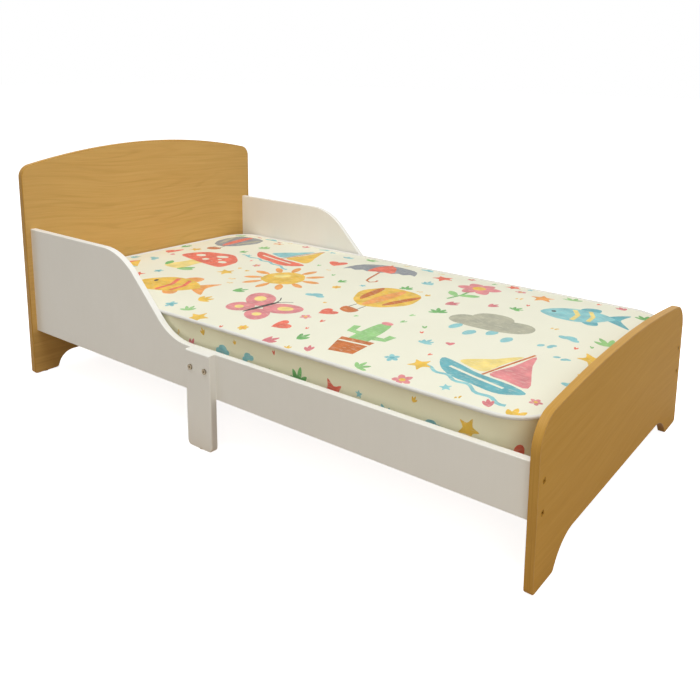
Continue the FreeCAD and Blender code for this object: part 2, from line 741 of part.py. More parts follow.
shell = make("PartDesign::Body", "mattress_outside")
sections = [rounded_rectangle(shell, level[0]) for level in LEVELS]
loft = shell.newObject("PartDesign::AdditiveLoft", "loft")
loft.Profile = sections[0]
loft.Sections = sections[1:]
loft.Ruled = True

core = make("PartDesign::Body", "mattress_core")
pad(core, rounded_rectangle(core, "foam"), "dims.foam_thick")
pieces.append(core)
pieces.append(cut(shell, [core], "mattress_cover"))

# Piping: a covered cord sewn into the seams at the top and bottom of the side band
for name in ("piping_upper", "piping_lower"):
    body = make("PartDesign::Body", name + "_body")
    path = rounded_rectangle(body, name)
    profile = body.newObject("Sketcher::SketchObject", name + "_profile")
    profile.AttachmentSupport = [(origin_plane(body, "YZ_Plane"), "")]
    profile.MapMode = "FlatFace"
    middle = (f"-{name}_wide", f"{name}_height")
    round_section = Part.Circle(Vector(read(middle[0]), read(middle[1]), 0), AXIS_Z, read("piping_radius"))
    profile.addGeometry(round_section, False)
    fasten(profile, point_ties(0, 3, *middle) + radius_tie(0, "piping_radius"))
    pipe = body.newObject("PartDesign::AdditivePipe", "pipe")
    pipe.Profile = profile
    pipe.Spine = path
    doc.recompute()
    pieces.append(cut(body, [shell], "mattress_" + name))


# Check every object and piece, then write one file for each piece
doc.recompute()
failed = [thing.Label for thing in doc.Objects if "Invalid" in thing.State or "Error" in thing.State]
if failed:
    raise RuntimeError("not rebuilt: " + ", ".join(failed))
for piece in pieces:
    if piece.Shape.isNull() or not piece.Shape.isValid() or not piece.Shape.Solids:
        raise RuntimeError("no valid solid: " + piece.Label)
os.makedirs("parts", exist_ok=True)
for piece in pieces:
    piece.Shape.exportStep(f"parts/{piece.Label}.step")
    print(f"{piece.Label}: {len(piece.Shape.Solids)} solids, {piece.Shape.Volume:.0f} mm3")
print(len(pieces), "pieces")
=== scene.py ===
"""Toddler bed: beech-effect end boards, white side panels and legs, a slatted base and a printed
foam mattress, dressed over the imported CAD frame.  Lengths are in metres, colours in sRGB steps.
"""
import math
import random

import bmesh
import bpy
import numpy as np
from mathutils import Matrix, Vector
from mathutils.geometry import delaunay_2d_cdt
from mathutils.kdtree import KDTree


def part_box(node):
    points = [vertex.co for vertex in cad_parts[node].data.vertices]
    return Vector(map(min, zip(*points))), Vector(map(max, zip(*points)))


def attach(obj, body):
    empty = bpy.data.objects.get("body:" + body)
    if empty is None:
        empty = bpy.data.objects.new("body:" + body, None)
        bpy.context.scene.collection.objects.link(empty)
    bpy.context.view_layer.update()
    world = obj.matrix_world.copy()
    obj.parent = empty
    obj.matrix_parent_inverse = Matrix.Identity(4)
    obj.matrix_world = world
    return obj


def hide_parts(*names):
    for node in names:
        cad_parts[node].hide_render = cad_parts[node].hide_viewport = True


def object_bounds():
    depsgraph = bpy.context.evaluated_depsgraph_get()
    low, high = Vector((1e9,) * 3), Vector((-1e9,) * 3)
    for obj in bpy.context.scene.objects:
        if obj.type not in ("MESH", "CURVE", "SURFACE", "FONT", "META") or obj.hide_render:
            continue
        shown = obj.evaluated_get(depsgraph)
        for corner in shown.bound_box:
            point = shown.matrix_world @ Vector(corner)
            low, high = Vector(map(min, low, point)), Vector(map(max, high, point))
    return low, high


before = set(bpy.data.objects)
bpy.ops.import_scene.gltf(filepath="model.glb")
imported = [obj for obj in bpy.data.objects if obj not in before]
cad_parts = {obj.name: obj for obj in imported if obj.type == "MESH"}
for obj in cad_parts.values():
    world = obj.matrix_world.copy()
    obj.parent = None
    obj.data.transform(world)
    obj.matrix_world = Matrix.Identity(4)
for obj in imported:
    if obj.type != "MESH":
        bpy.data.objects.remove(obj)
cad_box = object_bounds()


# Headboard: a 16 mm particle board faced on both sides with a printed beech foil.  The grain runs
# across the bed, a little off level, and the foil has a satin lacquer.
def tint(red, green, blue):
    """Linear colour of an sRGB colour given in steps of 255."""
    parts = [step / 255 for step in (red, green, blue)]
    return tuple(p / 12.92 if p < 0.04045 else ((p + 0.055) / 1.055) ** 2.4 for p in parts) + (1,)


def grey(level):
    return (level, level, level, 1)


def new_finish(name):
    """A material, its node tree and its shader."""
    material = bpy.data.materials.new(name)
    material.use_nodes = True
    return material, material.node_tree, material.node_tree.nodes["Principled BSDF"]


def feed(tree, node, inputs):
    """Set a node's inputs; one that is given a socket is linked to it."""
    for name, value in inputs.items():
        if isinstance(value, bpy.types.NodeSocket):
            tree.links.new(value, node.inputs[name])
        else:
            node.inputs[name].default_value = value


def put(tree, kind, inputs=None, **settings):
    """A new node with its settings and inputs."""
    node = tree.nodes.new(kind)
    for name, value in settings.items():
        setattr(node, name, value)
    feed(tree, node, inputs or {})
    return node


def made(tree, kind, inputs=None, **settings):
    """What a new node gives at its first output."""
    return put(tree, kind, inputs, **settings).outputs[0]


def worked(tree, operation, *values):
    """The result of a sum on numbers."""
    return made(tree, "ShaderNodeMath", dict(enumerate(values)), operation=operation)


def on_piece(tree, stretch=(1, 1, 1), turn=(0, 0, 0)):
    """The piece's own coordinates in metres, turned and stretched."""
    place = put(tree, "ShaderNodeTexCoord").outputs["Object"]
    place = made(tree, "ShaderNodeMapping", {"Vector": place, "Rotation": turn})
    return made(tree, "ShaderNodeMapping", {"Vector": place, "Scale": stretch})


def mottle(tree, where, scale=1.0, detail=3.0, twist=0.0):
    """Soft noise that mostly lies between 0.3 and 0.7."""
    return put(tree, "ShaderNodeTexNoise", {"Vector": where, "Scale": scale, "Detail": detail,
                                            "Distortion": twist}).outputs["Fac"]


def steps(tree, factor, *stops):
    """A colour that changes with a factor, through stops of (position, colour)."""
    ramp = put(tree, "ShaderNodeValToRGB", {0: factor})
    elements = ramp.color_ramp.elements
    elements[0].position, elements[0].color = stops[0]
    elements[1].position, elements[1].color = stops[-1]
    for position, color in stops[1:-1]:
        elements.new(position).color = color
    return ramp.outputs[0]


def between(tree, factor, first, last, low=0.3, high=0.7):
    """A colour that goes from the first to the last while a factor goes from low to high."""
    return steps(tree, factor, (low, first), (high, last))


def blended(tree, factor, first, second, mode="MIX"):
    mix = put(tree, "ShaderNodeMix", {0: factor, 6: first, 7: second}, data_type="RGBA",
              blend_type=mode)
    return mix.outputs[2]


def times(tree, tone, shade, share=1.0):
    """A tone multiplied by a shade, wholly or for a share."""
    return blended(tree, share, tone, shade, "MULTIPLY")


def relief(tree, height, depth, strength=1.0):
    """A surface normal raised by a height from 0 to 1, this many metres deep."""
    return made(tree, "ShaderNodeBump", {"Height": height, "Distance": depth,
                                         "Strength": strength})


def dress(material, *names):
    """Give CAD pieces their finish."""
    for name in names:
        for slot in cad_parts[name].material_slots:
            slot.material = material


def beech_foil(name, tilt, figure, roughness, gloss, tones):
    """Printed beech with three ground tones: a print of grain lines that drift up and down
    across the board, closing into long loops where the figure is strong."""
    material, tree, surface = new_finish(name)
    drift = mottle(tree, on_piece(tree, (1, 2.2, 3.0)), 1.0, 1.0)
    rise = made(tree, "ShaderNodeCombineXYZ", {"Z": worked(tree, "MULTIPLY", drift, 0.07)})
    level = on_piece(tree, turn=(math.radians(tilt), 0, 0))
    level = made(tree, "ShaderNodeVectorMath", {0: level, 1: rise}, operation="ADD")

    def drawn_out(*stretch):
        return made(tree, "ShaderNodeMapping", {"Vector": level, "Scale": stretch})

    streaks = mottle(tree, drawn_out(4, 5, 150), 1.0, 5.0, 0.4)
    hairs = mottle(tree, drawn_out(12, 22, 800), 1.0, 2.0)
    cut = mottle(tree, drawn_out(1, 0.9, 10), 1.0, 2.0, 0.2)
    loops = worked(tree, "SINE", worked(tree, "MULTIPLY", cut, 105.0))
    faint = mottle(tree, drawn_out(2, 5, 30), 1.0, 2.0)
    shown = times(tree, between(tree, loops, grey(0), grey(figure), 0.35, 0.95),
                  between(tree, faint, grey(0), grey(1), 0.38, 0.62))
    cells = made(tree, "ShaderNodeTexVoronoi", {"Vector": drawn_out(60, 150, 1000), "Scale": 1.0})
    pores = between(tree, cells, (0.84, 0.82, 0.78, 1), grey(1), 0.05, 0.22)
    hairlines = between(tree, hairs, (0.80, 0.78, 0.74, 1), (1.12, 1.12, 1.14, 1))
    tone = steps(tree, streaks, *zip((0.28, 0.5, 0.72), tones))
    tone = blended(tree, shown, tone, times(tree, tone, (0.80, 0.75, 0.66, 1)))
    tone = times(tree, tone, hairlines, 0.16)
    feed(tree, surface, {
        "Base Color": times(tree, tone, pores, 0.25),
        "Normal": relief(tree, blended(tree, 0.5, streaks, hairs), 0.00004),
        "Roughness": roughness, "Specular IOR Level": gloss})
    return material


dress(beech_foil("beech_foil", tilt=4, figure=0.3, roughness=0.53, gloss=0.22, tones=(
    tint(209, 166, 94), tint(215, 172, 100), tint(219, 178, 107))), "headboard")


# Footboard: the same 16 mm board and foil, about half as high, with wider feet and rounder cuts
# beside them.  Its grain is a plainer cut, so it shows fewer loops.  Its tones are darker and more
# orange than the headboard's: painted shade, as this face of the same foil gets less light.
dress(beech_foil("plain_beech_foil_painted_shade", tilt=-4, figure=0.1, roughness=0.6, gloss=0.1, tones=(
    tint(205, 156, 68), tint(208, 159, 71), tint(211, 163, 75))), "footboard")


# Edge bands: 2 mm plastic edging in a beech print, glued all round both end boards with rounded
# arrises.  Its fine lines run along the edge.
banding, tree, surface = new_finish("beech_edging")
lines = mottle(tree, on_piece(tree, (900, 7, 7)), 1.0, 3.0)
patches = mottle(tree, on_piece(tree), 14.0, 2.0)
tone = blended(tree, 0.3, between(tree, lines, tint(184, 136, 59), tint(206, 160, 80)),
               between(tree, patches, tint(186, 138, 62), tint(204, 158, 78)))
feed(tree, surface, {"Base Color": tone, "Normal": relief(tree, lines, 0.00005),
                     "Roughness": 0.42, "Specular IOR Level": 0.14})
dress(banding, "headboard_edge_band", "footboard_edge_band")


# Side panels and centre legs: 15 and 16 mm fibreboard, sprayed all over with a warm white
# lacquer that rounds the routed edges and dries with a faint orange peel.
white, tree, surface = new_finish("white_lacquer")
whites = tint(242, 241, 235), tint(246, 245, 240)
haze = mottle(tree, on_piece(tree), 5.0, 2.0)
rolled = mottle(tree, on_piece(tree, (90, 90, 12)), 1.0, 3.0)
peel = mottle(tree, on_piece(tree), 420.0, 2.0)
tone = blended(tree, 0.3, between(tree, haze, *whites), between(tree, rolled, *whites))
feed(tree, surface, {"Base Color": tone, "Normal": relief(tree, peel, 0.00006, 0.5),
                     "Roughness": 0.38})
dress(white, "side_panel_left", "side_panel_right", "centre_leg_left", "centre_leg_right")


# Corner bolts, leg bolts, barrel nuts, threaded sleeves, tee nuts and screws: plated steel with
# turned heads, dulled a little by handling.  The corner bolts have a browner plating.
def plating(name, dull, bright, edge=(1, 1, 1, 1)):
    """Plated steel between two tones, with a tint of its own where it is seen on edge."""
    material, tree, surface = new_finish(name)
    turned = mottle(tree, on_piece(tree), 2400.0, 2.0)
    smears = mottle(tree, on_piece(tree), 160.0, 3.0)
    feed(tree, surface, {
        "Base Color": between(tree, smears, dull, bright), "Metallic": 1.0,
        "Roughness": between(tree, smears, grey(0.26), grey(0.40)),
        "Specular Tint": edge, "Normal": relief(tree, turned, 0.00003)})
    return material


steel = plating("plated_steel", tint(116, 103, 84), tint(146, 133, 112))
dress(steel, "leg_bolts", "headboard_barrel_nuts", "footboard_barrel_nuts", "guard_inserts",
      "leg_tee_nuts", "ledge_screws", "slat_screws", "stretcher_screws")
dress(plating("brown_plating", tint(122, 92, 52), tint(160, 128, 78), (0.5, 0.36, 0.21, 1)),
      "headboard_bolts", "footboard_bolts")


# Dowels: fluted beech pins of bare wood, with the grain along the pin.  They are glued into the
# end boards and locate the panels' ends.
pin, tree, surface = new_finish("bare_beech")
fibres = mottle(tree, on_piece(tree, (30, 900, 900)), 1.0, 4.0)
feed(tree, surface, {"Base Color": between(tree, fibres, tint(196, 160, 116), tint(218, 186, 144)),
                     "Normal": relief(tree, fibres, 0.00015), "Roughness": 0.75})
dress(pin, "headboard_dowels", "footboard_dowels")


# Ledges, stretcher and slats: planed pine, unfinished.  Growth lines follow each length, and
# every slat is sawn from another board, so its tone and its knots differ.
def bands(tree, where, scale, wander, direction):
    """Even stripes that wander a little, as growth rings and woven threads do."""
    return put(tree, "ShaderNodeTexWave", {"Vector": where, "Scale": scale, "Distortion": wander},
               bands_direction=direction).outputs["Fac"]


def pine_finish(name, stretch, knots):
    """Pine whose grain runs along the axis with the least stretch."""
    material, tree, surface = new_finish(name)
    lines = mottle(tree, on_piece(tree, stretch), 1.0, 4.0, 0.8)
    rings = bands(tree, on_piece(tree, tuple(s * 0.16 for s in stretch)), 1.1, 5.0, "DIAGONAL")
    boards = mottle(tree, on_piece(tree, (9, 0.7, 3)), 1.0, 0.0)
    spots = made(tree, "ShaderNodeTexVoronoi", {"Vector": on_piece(tree, knots), "Scale": 1.0})
    tone = between(tree, lines, tint(205, 168, 116), tint(229, 199, 152))
    ringed = between(tree, rings, tint(232, 204, 160), tint(198, 156, 102), 0.1, 0.9)
    varied = between(tree, boards, tint(206, 168, 118), tint(234, 208, 166), 0.35, 0.65)
    tone = blended(tree, 0.3, blended(tree, 0.4, tone, ringed), varied)
    knotted = between(tree, spots, grey(1), grey(0), 0.02, 0.075)
    feed(tree, surface, {"Base Color": blended(tree, knotted, tone, tint(134, 88, 48)),
                         "Normal": relief(tree, lines, 0.0002), "Roughness": 0.7})
    return material


slats = ["slat_%02d" % number for number in range(1, 14)]
ledges = ["slat_ledge_%s_%s" % (side, end) for side in ("left", "right")
          for end in ("head", "foot")]
dress(pine_finish("pine_across", (60, 5, 160), (9, 4, 9)), "stretcher", *slats)
dress(pine_finish("pine_along", (5, 160, 90), (4, 9, 9)), *ledges)


# Webbing: two 25 mm woven straps that keep the slats evenly spaced.  Each lies on the slats and
# dips a little between them, with a rib of warp threads along both edges.
webbing, tree, surface = new_finish("woven_webbing")
strap_uv = made(tree, "ShaderNodeUVMap", uv_map="flat")
woven = blended(tree, 0.5, bands(tree, strap_uv, 190.0, 0.6, "X"),
                bands(tree, strap_uv, 240.0, 0.4, "Y"))
feed(tree, surface, {
    "Base Color": between(tree, woven, tint(200, 197, 187), tint(230, 228, 220), 0.2, 0.8),
    "Normal": relief(tree, woven, 0.0004), "Roughness": 0.85, "Sheen Weight": 0.2})

slat_boxes = [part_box(name) for name in slats]
dip = 0.0012
# The strap's section, as shares of its half width and of its thickness.
section = [(-1, 0.25), (-0.97, 0), (-0.9, 0), (0, 0), (0.9, 0), (0.97, 0), (1, 0.25), (1, 0.75),
           (0.97, 1), (0.9, 1), (0.84, 0.86), (0, 0.86), (-0.84, 0.86), (-0.9, 1), (-0.97, 1),
           (-1, 0.75)]


def set_down(name, data):
    """A new object with this data, in the scene."""
    item = bpy.data.objects.new(name, data)
    bpy.context.scene.collection.objects.link(item)
    return item


for side in ("left", "right"):
    low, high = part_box("webbing_" + side)
    middle = (low.y + high.y) / 2
    half_width, thick = (high.y - low.y) / 2, high.z - low.z
    stations = []
    for first, second in zip(slat_boxes, slat_boxes[1:]):
        start, gap_start, gap_end = first[0].x, first[1].x, second[0].x
        stations += [(start + share * (gap_start - start), 0) for share in (0.1, 0.37, 0.63, 0.9)]
        stations += [(gap_start + share * (gap_end - gap_start), dip * math.sin(math.pi * share))
                     for share in (0, 0.17, 0.33, 0.5, 0.67, 0.83)]
    last = slat_boxes[-1]
    stations += [(last[0].x + share * (last[1].x - last[0].x), 0) for share in (0, 0.2, 0.35, 0.5)]
    stations = [(x, sag) for x, sag in stations if low.x < x < high.x]
    stations = [(low.x, 0)] + stations + [(high.x, 0)]
    cloth = bmesh.new()
    flat = cloth.loops.layers.uv.new("flat")
    rows = [[cloth.verts.new((x, middle + half_width * across, low.z - sag + thick * up))
             for across, up in section] for x, sag in stations]
    for row, following in zip(rows, rows[1:]):
        for index in range(len(section)):
            after = (index + 1) % len(section)
            face = cloth.faces.new((row[index], row[after], following[after], following[index]))
            face.smooth = True
            for loop in face.loops:
                loop[flat].uv = (loop.vert.co.x, loop.vert.co.y)
    cloth.faces.new(reversed(rows[0]))
    cloth.faces.new(rows[-1])
    bmesh.ops.recalc_face_normals(cloth, faces=cloth.faces)
    mesh = bpy.data.meshes.new("strap_" + side)
    cloth.to_mesh(mesh)
    mesh.materials.append(webbing)
    strap = set_down("strap_" + side, mesh)
    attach(strap, "bedstead")
    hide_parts("webbing_" + side)


# Staples: two wire staples fix each strap to each slat, driven across the strap by hand, so no
# two lie quite alike.
def growth_tree(name, *inputs):
    """A geometry tree with inputs given as (name, kind, default), and their sockets."""
    tree = bpy.data.node_groups.new(name, "GeometryNodeTree")
    tree.interface.new_socket("Geometry", in_out="INPUT", socket_type="NodeSocketGeometry")
    for label, kind, default in inputs:
        socket = tree.interface.new_socket(label, in_out="INPUT", socket_type="NodeSocket" + kind)
        socket.default_value = default
    tree.interface.new_socket("Geometry", in_out="OUTPUT", socket_type="NodeSocketGeometry")
    return tree, put(tree, "NodeGroupInput").outputs


def end_tree(tree, geometry, material):
    """Make a tree's instances real and give what it grows its material."""
    geometry = made(tree, "GeometryNodeRealizeInstances", {"Geometry": geometry})
    geometry = made(tree, "GeometryNodeSetMaterial", {"Geometry": geometry, "Material": material})
    put(tree, "NodeGroupOutput", {0: geometry})


def evaluated(item):
    """An object as its modifiers leave it."""
    return item.evaluated_get(bpy.context.evaluated_depsgraph_get())


def grown(source, tree, settings):
    """The plain mesh that a geometry tree makes from an object, with its inputs set by name."""
    modifier = source.modifiers.new("growth", "NODES")
    modifier.node_group = tree
    for item in tree.interface.items_tree:
        if item.item_type == "SOCKET" and item.in_out == "INPUT" and item.name in settings:
            modifier[item.identifier] = settings[item.name]
    mesh = bpy.data.meshes.new_from_object(evaluated(source))
    source.modifiers.remove(modifier)
    return mesh


shoulder_drop, pressed_in = 0.0009, 0.0006
slip, skew = (0.002, 0.003, 0), (0, 0, 0.12)
staples, given = growth_tree(
    "staples", ("Slat pitch", "Float", 0.1095), ("Slats", "Int", 13), ("Width", "Float", 0.010),
    ("Wire", "Float", 0.0005), ("Apart", "Float", 0.013), ("Seed", "Int", 4))


def uneven(most):
    """Another small vector at each staple, at most this much either way."""
    return made(staples, "FunctionNodeRandomValue", {
        "Min": tuple(-part for part in most), "Max": most, "Seed": given["Seed"]},
        data_type="FLOAT_VECTOR")


ends = [made(staples, "ShaderNodeCombineXYZ", {
    "Y": worked(staples, "MULTIPLY", given["Width"], share)}) for share in (-0.5, 0.5)]
bent = made(staples, "GeometryNodeCurvePrimitiveLine", {"Start": ends[0], "End": ends[1]})
bent = made(staples, "GeometryNodeResampleCurve", {"Curve": bent, "Count": 6})
along = put(staples, "GeometryNodeSplineParameter").outputs["Factor"]
off_middle = worked(staples, "ABSOLUTE", worked(staples, "SUBTRACT", along, 0.5))
at_end = worked(staples, "GREATER_THAN", off_middle, 0.45)
drop = made(staples, "ShaderNodeCombineXYZ", {
    "Z": worked(staples, "MULTIPLY", at_end, -shoulder_drop)})
bent = made(staples, "GeometryNodeSetPosition", {"Geometry": bent, "Offset": drop})
wire = made(staples, "GeometryNodeCurvePrimitiveCircle",
            {"Resolution": 6, "Radius": given["Wire"]})
staple = made(staples, "GeometryNodeCurveToMesh",
              {"Curve": bent, "Profile Curve": wire, "Fill Caps": True})
pitch = made(staples, "ShaderNodeCombineXYZ", {"X": given["Slat pitch"]})
apart = made(staples, "ShaderNodeCombineXYZ", {"X": given["Apart"]})
start = made(staples, "ShaderNodeVectorMath", {0: apart, 1: (-0.5,) * 3}, operation="MULTIPLY")
pair = made(staples, "GeometryNodeMeshLine",
            {"Count": 2, "Start Location": start, "Offset": apart})
row = made(staples, "GeometryNodeMeshLine", {"Count": given["Slats"], "Offset": pitch})
spots = made(staples, "GeometryNodeInstanceOnPoints", {"Points": row, "Instance": pair})
spots = made(staples, "GeometryNodeRealizeInstances", {"Geometry": spots})
spots = made(staples, "GeometryNodeSetPosition", {"Geometry": spots, "Offset": uneven(slip)})
driven = made(staples, "GeometryNodeInstanceOnPoints",
              {"Points": spots, "Instance": staple, "Rotation": uneven(skew)})
end_tree(staples, driven, steel)
for side, seed in (("left", 4), ("right", 9)):
    low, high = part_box("webbing_" + side)
    holder = set_down("staples_" + side, bpy.data.meshes.new("holder"))
    mesh = grown(holder, staples, {"Slat pitch": slat_boxes[1][0].x - slat_boxes[0][0].x,
                                   "Slats": len(slats), "Seed": seed})
    mesh.transform(Matrix.Translation((low.x, (low.y + high.y) / 2, high.z - pressed_in)))
    holder.data = mesh
    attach(holder, "bedstead")


# Glides: pale polyethylene discs that lift the feet off the floor.  A nail holds each one, and
# the floor scuffs it.
glide, tree, surface = new_finish("glide_plastic")
scuffs = mottle(tree, on_piece(tree, (500, 90, 90)), 1.0, 4.0)
feed(tree, surface, {
    "Base Color": between(tree, scuffs, tint(206, 203, 195), tint(224, 221, 214), 0.35, 0.65),
    "Normal": relief(tree, scuffs, 0.00008), "Roughness": 0.45})
dress(glide, "glides")


# Foam core: one block of cream polyurethane foam, cut to size with open pores.  It is out of
# sight inside the cover.
foam, tree, surface = new_finish("cut_foam")
pits = mottle(tree, on_piece(tree), 900.0, 3.0)
feed(tree, surface, {"Base Color": between(tree, pits, tint(226, 216, 186), tint(242, 234, 208)),
                     "Normal": relief(tree, pits, 0.0008), "Roughness": 0.95})
dress(foam, "mattress_core")


# Mattress cover: cream cotton printed in flat inks, sewn from a top, a side band and a plain
# underside.  The foam fills it: it crowns on top, draws in along the band between its piped
# seams, and lies flat on the slats.
cover_box, cord_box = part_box("mattress_cover"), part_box("mattress_piping_upper")
cord_radius = 0.004
half_long, half_wide = cord_box[1].x, cord_box[1].y
base, seam = cover_box[0].z, cord_box[1].z - cord_radius
crown, band_high = cover_box[1].z - seam, seam - base
corner = 0.085  # radius of the outline, which runs outside the piping
tuck = 0.005  # how far the seams lie inside that outline
quarter = math.pi * corner / 2
core_long, core_wide = half_long - corner, half_wide - corner
marks = np.cumsum([0, core_wide, quarter, 2 * core_long, quarter, 2 * core_wide, quarter,
                   2 * core_long, quarter, core_wide])
girth = marks[-1]
core_x = core_long * np.array([-1, -1, -1, 1, 1, 1, 1, -1, -1, -1])
core_y = core_wide * np.array([0, -1, -1, -1, -1, 1, 1, 1, 1, 0])
facing = math.pi * np.array([1, 1, 1.5, 1.5, 2, 2, 2.5, 2.5, 3, 3])


def around(distance, inset):
    """Points at distances along the mattress outline, drawn in by an inset, and their outward
    directions.  The distance runs from the middle of the head end towards the left side."""
    angle = np.interp(distance, marks, facing)
    out = np.stack([np.cos(angle), np.sin(angle)], 1)
    core = np.stack([np.interp(distance, marks, core_x), np.interp(distance, marks, core_y)], 1)
    return core + out * np.reshape(corner - inset, (-1, 1)), out


def depth_in(points):
    """How far points lie inside the mattress outline."""
    beyond = np.abs(points) - (core_long, core_wide)
    outside = np.hypot(*np.maximum(beyond, 0).T)
    return corner - outside - np.minimum(beyond.max(1), 0)


def waver(distance, seed, reach, most_waves):
    """A closed wandering line: small seeded waves along the outline, at most about the reach."""
    highest_sum = 2.2
    random.seed(seed)
    total = np.zeros(len(distance))
    for waves in range(2, most_waves):
        total += random.uniform(0.3, 1) * np.sin(
            2 * math.pi * (waves * distance / girth + random.random())) / waves ** 0.5
    return reach * total / highest_sum


def slack(distance):
    """How far the sewn edge lies inside its outline, and above its level."""
    drawn = 0.0011
    return (drawn + waver(distance, seed=3, reach=0.0010, most_waves=14),
            waver(distance, seed=8, reach=0.0011, most_waves=16))


def nearest_distance(points):
    """Distance along the outline of the place nearest to each point."""
    samples = np.linspace(0, girth, 1600, endpoint=False)
    line, _ = around(samples, 0)
    return samples[[((line - point) ** 2).sum(1).argmin() for point in points]]


# The foam's push on the cloth: the outer wall of the CAD cover, remeshed, pinned along its seams
# and blown up a little, gives every place of the cover its fullness.
def outer_wall(node):
    """The outside shell of a hollow CAD piece."""
    form = bmesh.new()
    form.from_mesh(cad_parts[node].data)
    bmesh.ops.remove_doubles(form, verts=form.verts, dist=1e-5)
    reached = newest = {max(form.verts, key=lambda vert: vert.co.x)}
    while newest:
        newest = {link.other_vert(vert) for vert in newest for link in vert.link_edges} - reached
        reached = reached | newest
    inside = [vert for vert in form.verts if vert not in reached]
    bmesh.ops.delete(form, geom=inside, context="VERTS")
    mesh = bpy.data.meshes.new("wall")
    form.to_mesh(mesh)
    return mesh


def simulated(mesh, pressure, frames, most):
    """Start places of a remeshed closed cloth and how far pressure moves each of them."""
    cloth = set_down("blown", mesh)
    remesh = cloth.modifiers.new("remesh", "REMESH")
    remesh.mode = "VOXEL"
    remesh.voxel_size = 0.012
    cloth.data = bpy.data.meshes.new_from_object(evaluated(cloth))
    cloth.modifiers.remove(remesh)
    start = np.array([vert.co for vert in cloth.data.vertices])
    strip, reach, touching = 0.016, 0.009, 0.004
    height = start[:, 2]
    near_seam = (depth_in(start[:, :2]) < strip) & (
        (np.abs(height - seam) < reach) | (height < base + reach))
    pinned = cloth.vertex_groups.new(name="pinned")
    held = np.flatnonzero(near_seam | (height < base + touching))
    pinned.add([int(index) for index in held], 1.0, "REPLACE")
    bellows = cloth.modifiers.new("bellows", "CLOTH")
    feel = bellows.settings
    feel.quality = 4
    feel.mass = 0.3
    feel.tension_stiffness = feel.compression_stiffness = 12
    feel.bending_stiffness = 0.4
    feel.vertex_group_mass = "pinned"
    feel.use_pressure = True
    feel.uniform_pressure_force = pressure
    feel.effector_weights.gravity = 0
    bellows.point_cache.frame_start, bellows.point_cache.frame_end = 1, frames
    for number in range(1, frames + 1):
        bpy.context.scene.frame_set(number)
    blown = evaluated(cloth).to_mesh()
    moved = np.array([vert.co for vert in blown.vertices]) - start
    bpy.context.scene.frame_set(1)
    bpy.data.objects.remove(cloth)
    length = np.linalg.norm(moved, axis=1)
    return start, moved * np.minimum(1, most / np.maximum(length, 1e-9))[:, None]


blown_from, blown_by = simulated(outer_wall("mattress_cover"), pressure=4.0, frames=20,
                                 most=0.006)
blown_tree = KDTree(len(blown_from))
for number, place in enumerate(blown_from):
    blown_tree.insert(place, number)
blown_tree.balance()


def fullness(places):
    """The push at each place, averaged over the nearest simulated points."""
    if blown_tree is None:
        return np.zeros_like(places)
    pushes = []
    neighbours, spread = 6, 0.004
    for place in places:
        near = blown_tree.find_n(place, neighbours)
        weights = np.array([1 / (distance + spread) ** 2 for _, _, distance in near])
        pushes.append((blown_by[[number for _, number, _ in near]] * weights[:, None]).sum(0)
                      / weights.sum())
    return np.array(pushes)


# The print: a scatter of toys, weather, plants and small animals in flat inks with hand-cut
# edges.  Each motif is a few closed outlines about one unit across, painted one over the other.
# The side band's ground is its own yellower cream: the yellow of the shade that the band lies in,
# painted into the cloth.
inks = {"cream": tint(243, 242, 223), "band cream with painted shade": tint(247, 243, 213),
        "yellow": tint(240, 198, 84), "butter": tint(247, 226, 142), "coral": tint(238, 120, 98),
        "sky": tint(146, 207, 212), "teal": tint(112, 184, 194), "green": tint(156, 209, 138),
        "leaf": tint(122, 188, 114), "pink": tint(230, 146, 150), "rose": tint(224, 132, 138),
        "grey": tint(150, 155, 161), "stone": tint(184, 184, 164), "rust": tint(204, 120, 66),
        "orange": tint(243, 168, 94), "coal": tint(66, 62, 62)}
ink_names = list(inks)


def loop_through(points, share=7):
    """A smooth closed outline through a few points."""
    points = np.array(points, float)
    before, after, next_after = (np.roll(points, shift, 0) for shift in (1, -1, -2))
    t = np.arange(share)[:, None, None] / share
    curve = 0.5 * (2 * points + (after - before) * t
                   + (2 * before - 5 * points + 4 * after - next_after) * t ** 2
                   + (3 * points - before - 3 * after + next_after) * t ** 3)
    return curve.transpose(1, 0, 2).reshape(-1, 2)


def swung(flat, turn):
    """Flat points turned round the origin."""
    c, s = math.cos(turn), math.sin(turn)
    return flat @ np.array([[c, s], [-s, c]])


def oval(x, y, wide, high, turn=0.0, sides=22):
    angle = np.linspace(0, 2 * math.pi, sides, endpoint=False)
    flat = np.stack([wide * np.cos(angle), high * np.sin(angle)], 1)
    return swung(flat, turn) + (x, y)


def petal(x, y, length, width, turn):
    """A leaf that starts at a point and ends in a soft tip."""
    flat = loop_through([(0, 0), (.3, .42), (.72, .44), (1, .04), (.74, -.42), (.3, -.4)], 4)
    return swung(flat * (length, width), turn) + (x, y)


def stroke(points, width):
    """A line of a width drawn through points."""
    points = np.array(points, float)
    way = np.gradient(points, axis=0)
    side = np.stack([-way[:, 1], way[:, 0]], 1) / np.linalg.norm(way, axis=1)[:, None] * width / 2
    return np.concatenate([points - side, (points + side)[::-1]])


def balloon(first, second, third):
    parts = [(first, loop_through([(0, .5), (.26, .42), (.37, .18), (.28, -.06), (.09, -.24),
                                   (-.09, -.24), (-.28, -.06), (-.37, .18), (-.26, .42)]))]
    parts += [(second, oval(0, .13, .075, .36)), (third, oval(.215, .15, .05, .26, -.2)),
              (third, oval(-.215, .15, .05, .26, .2))]
    parts += [("coal", stroke([(side * .06, -.25), (side * .07, -.4)], .012)) for side in (-1, 1)]
    return parts + [("rust", loop_through([(-.1, -.38), (.1, -.38), (.075, -.5), (-.075, -.5)], 4))]


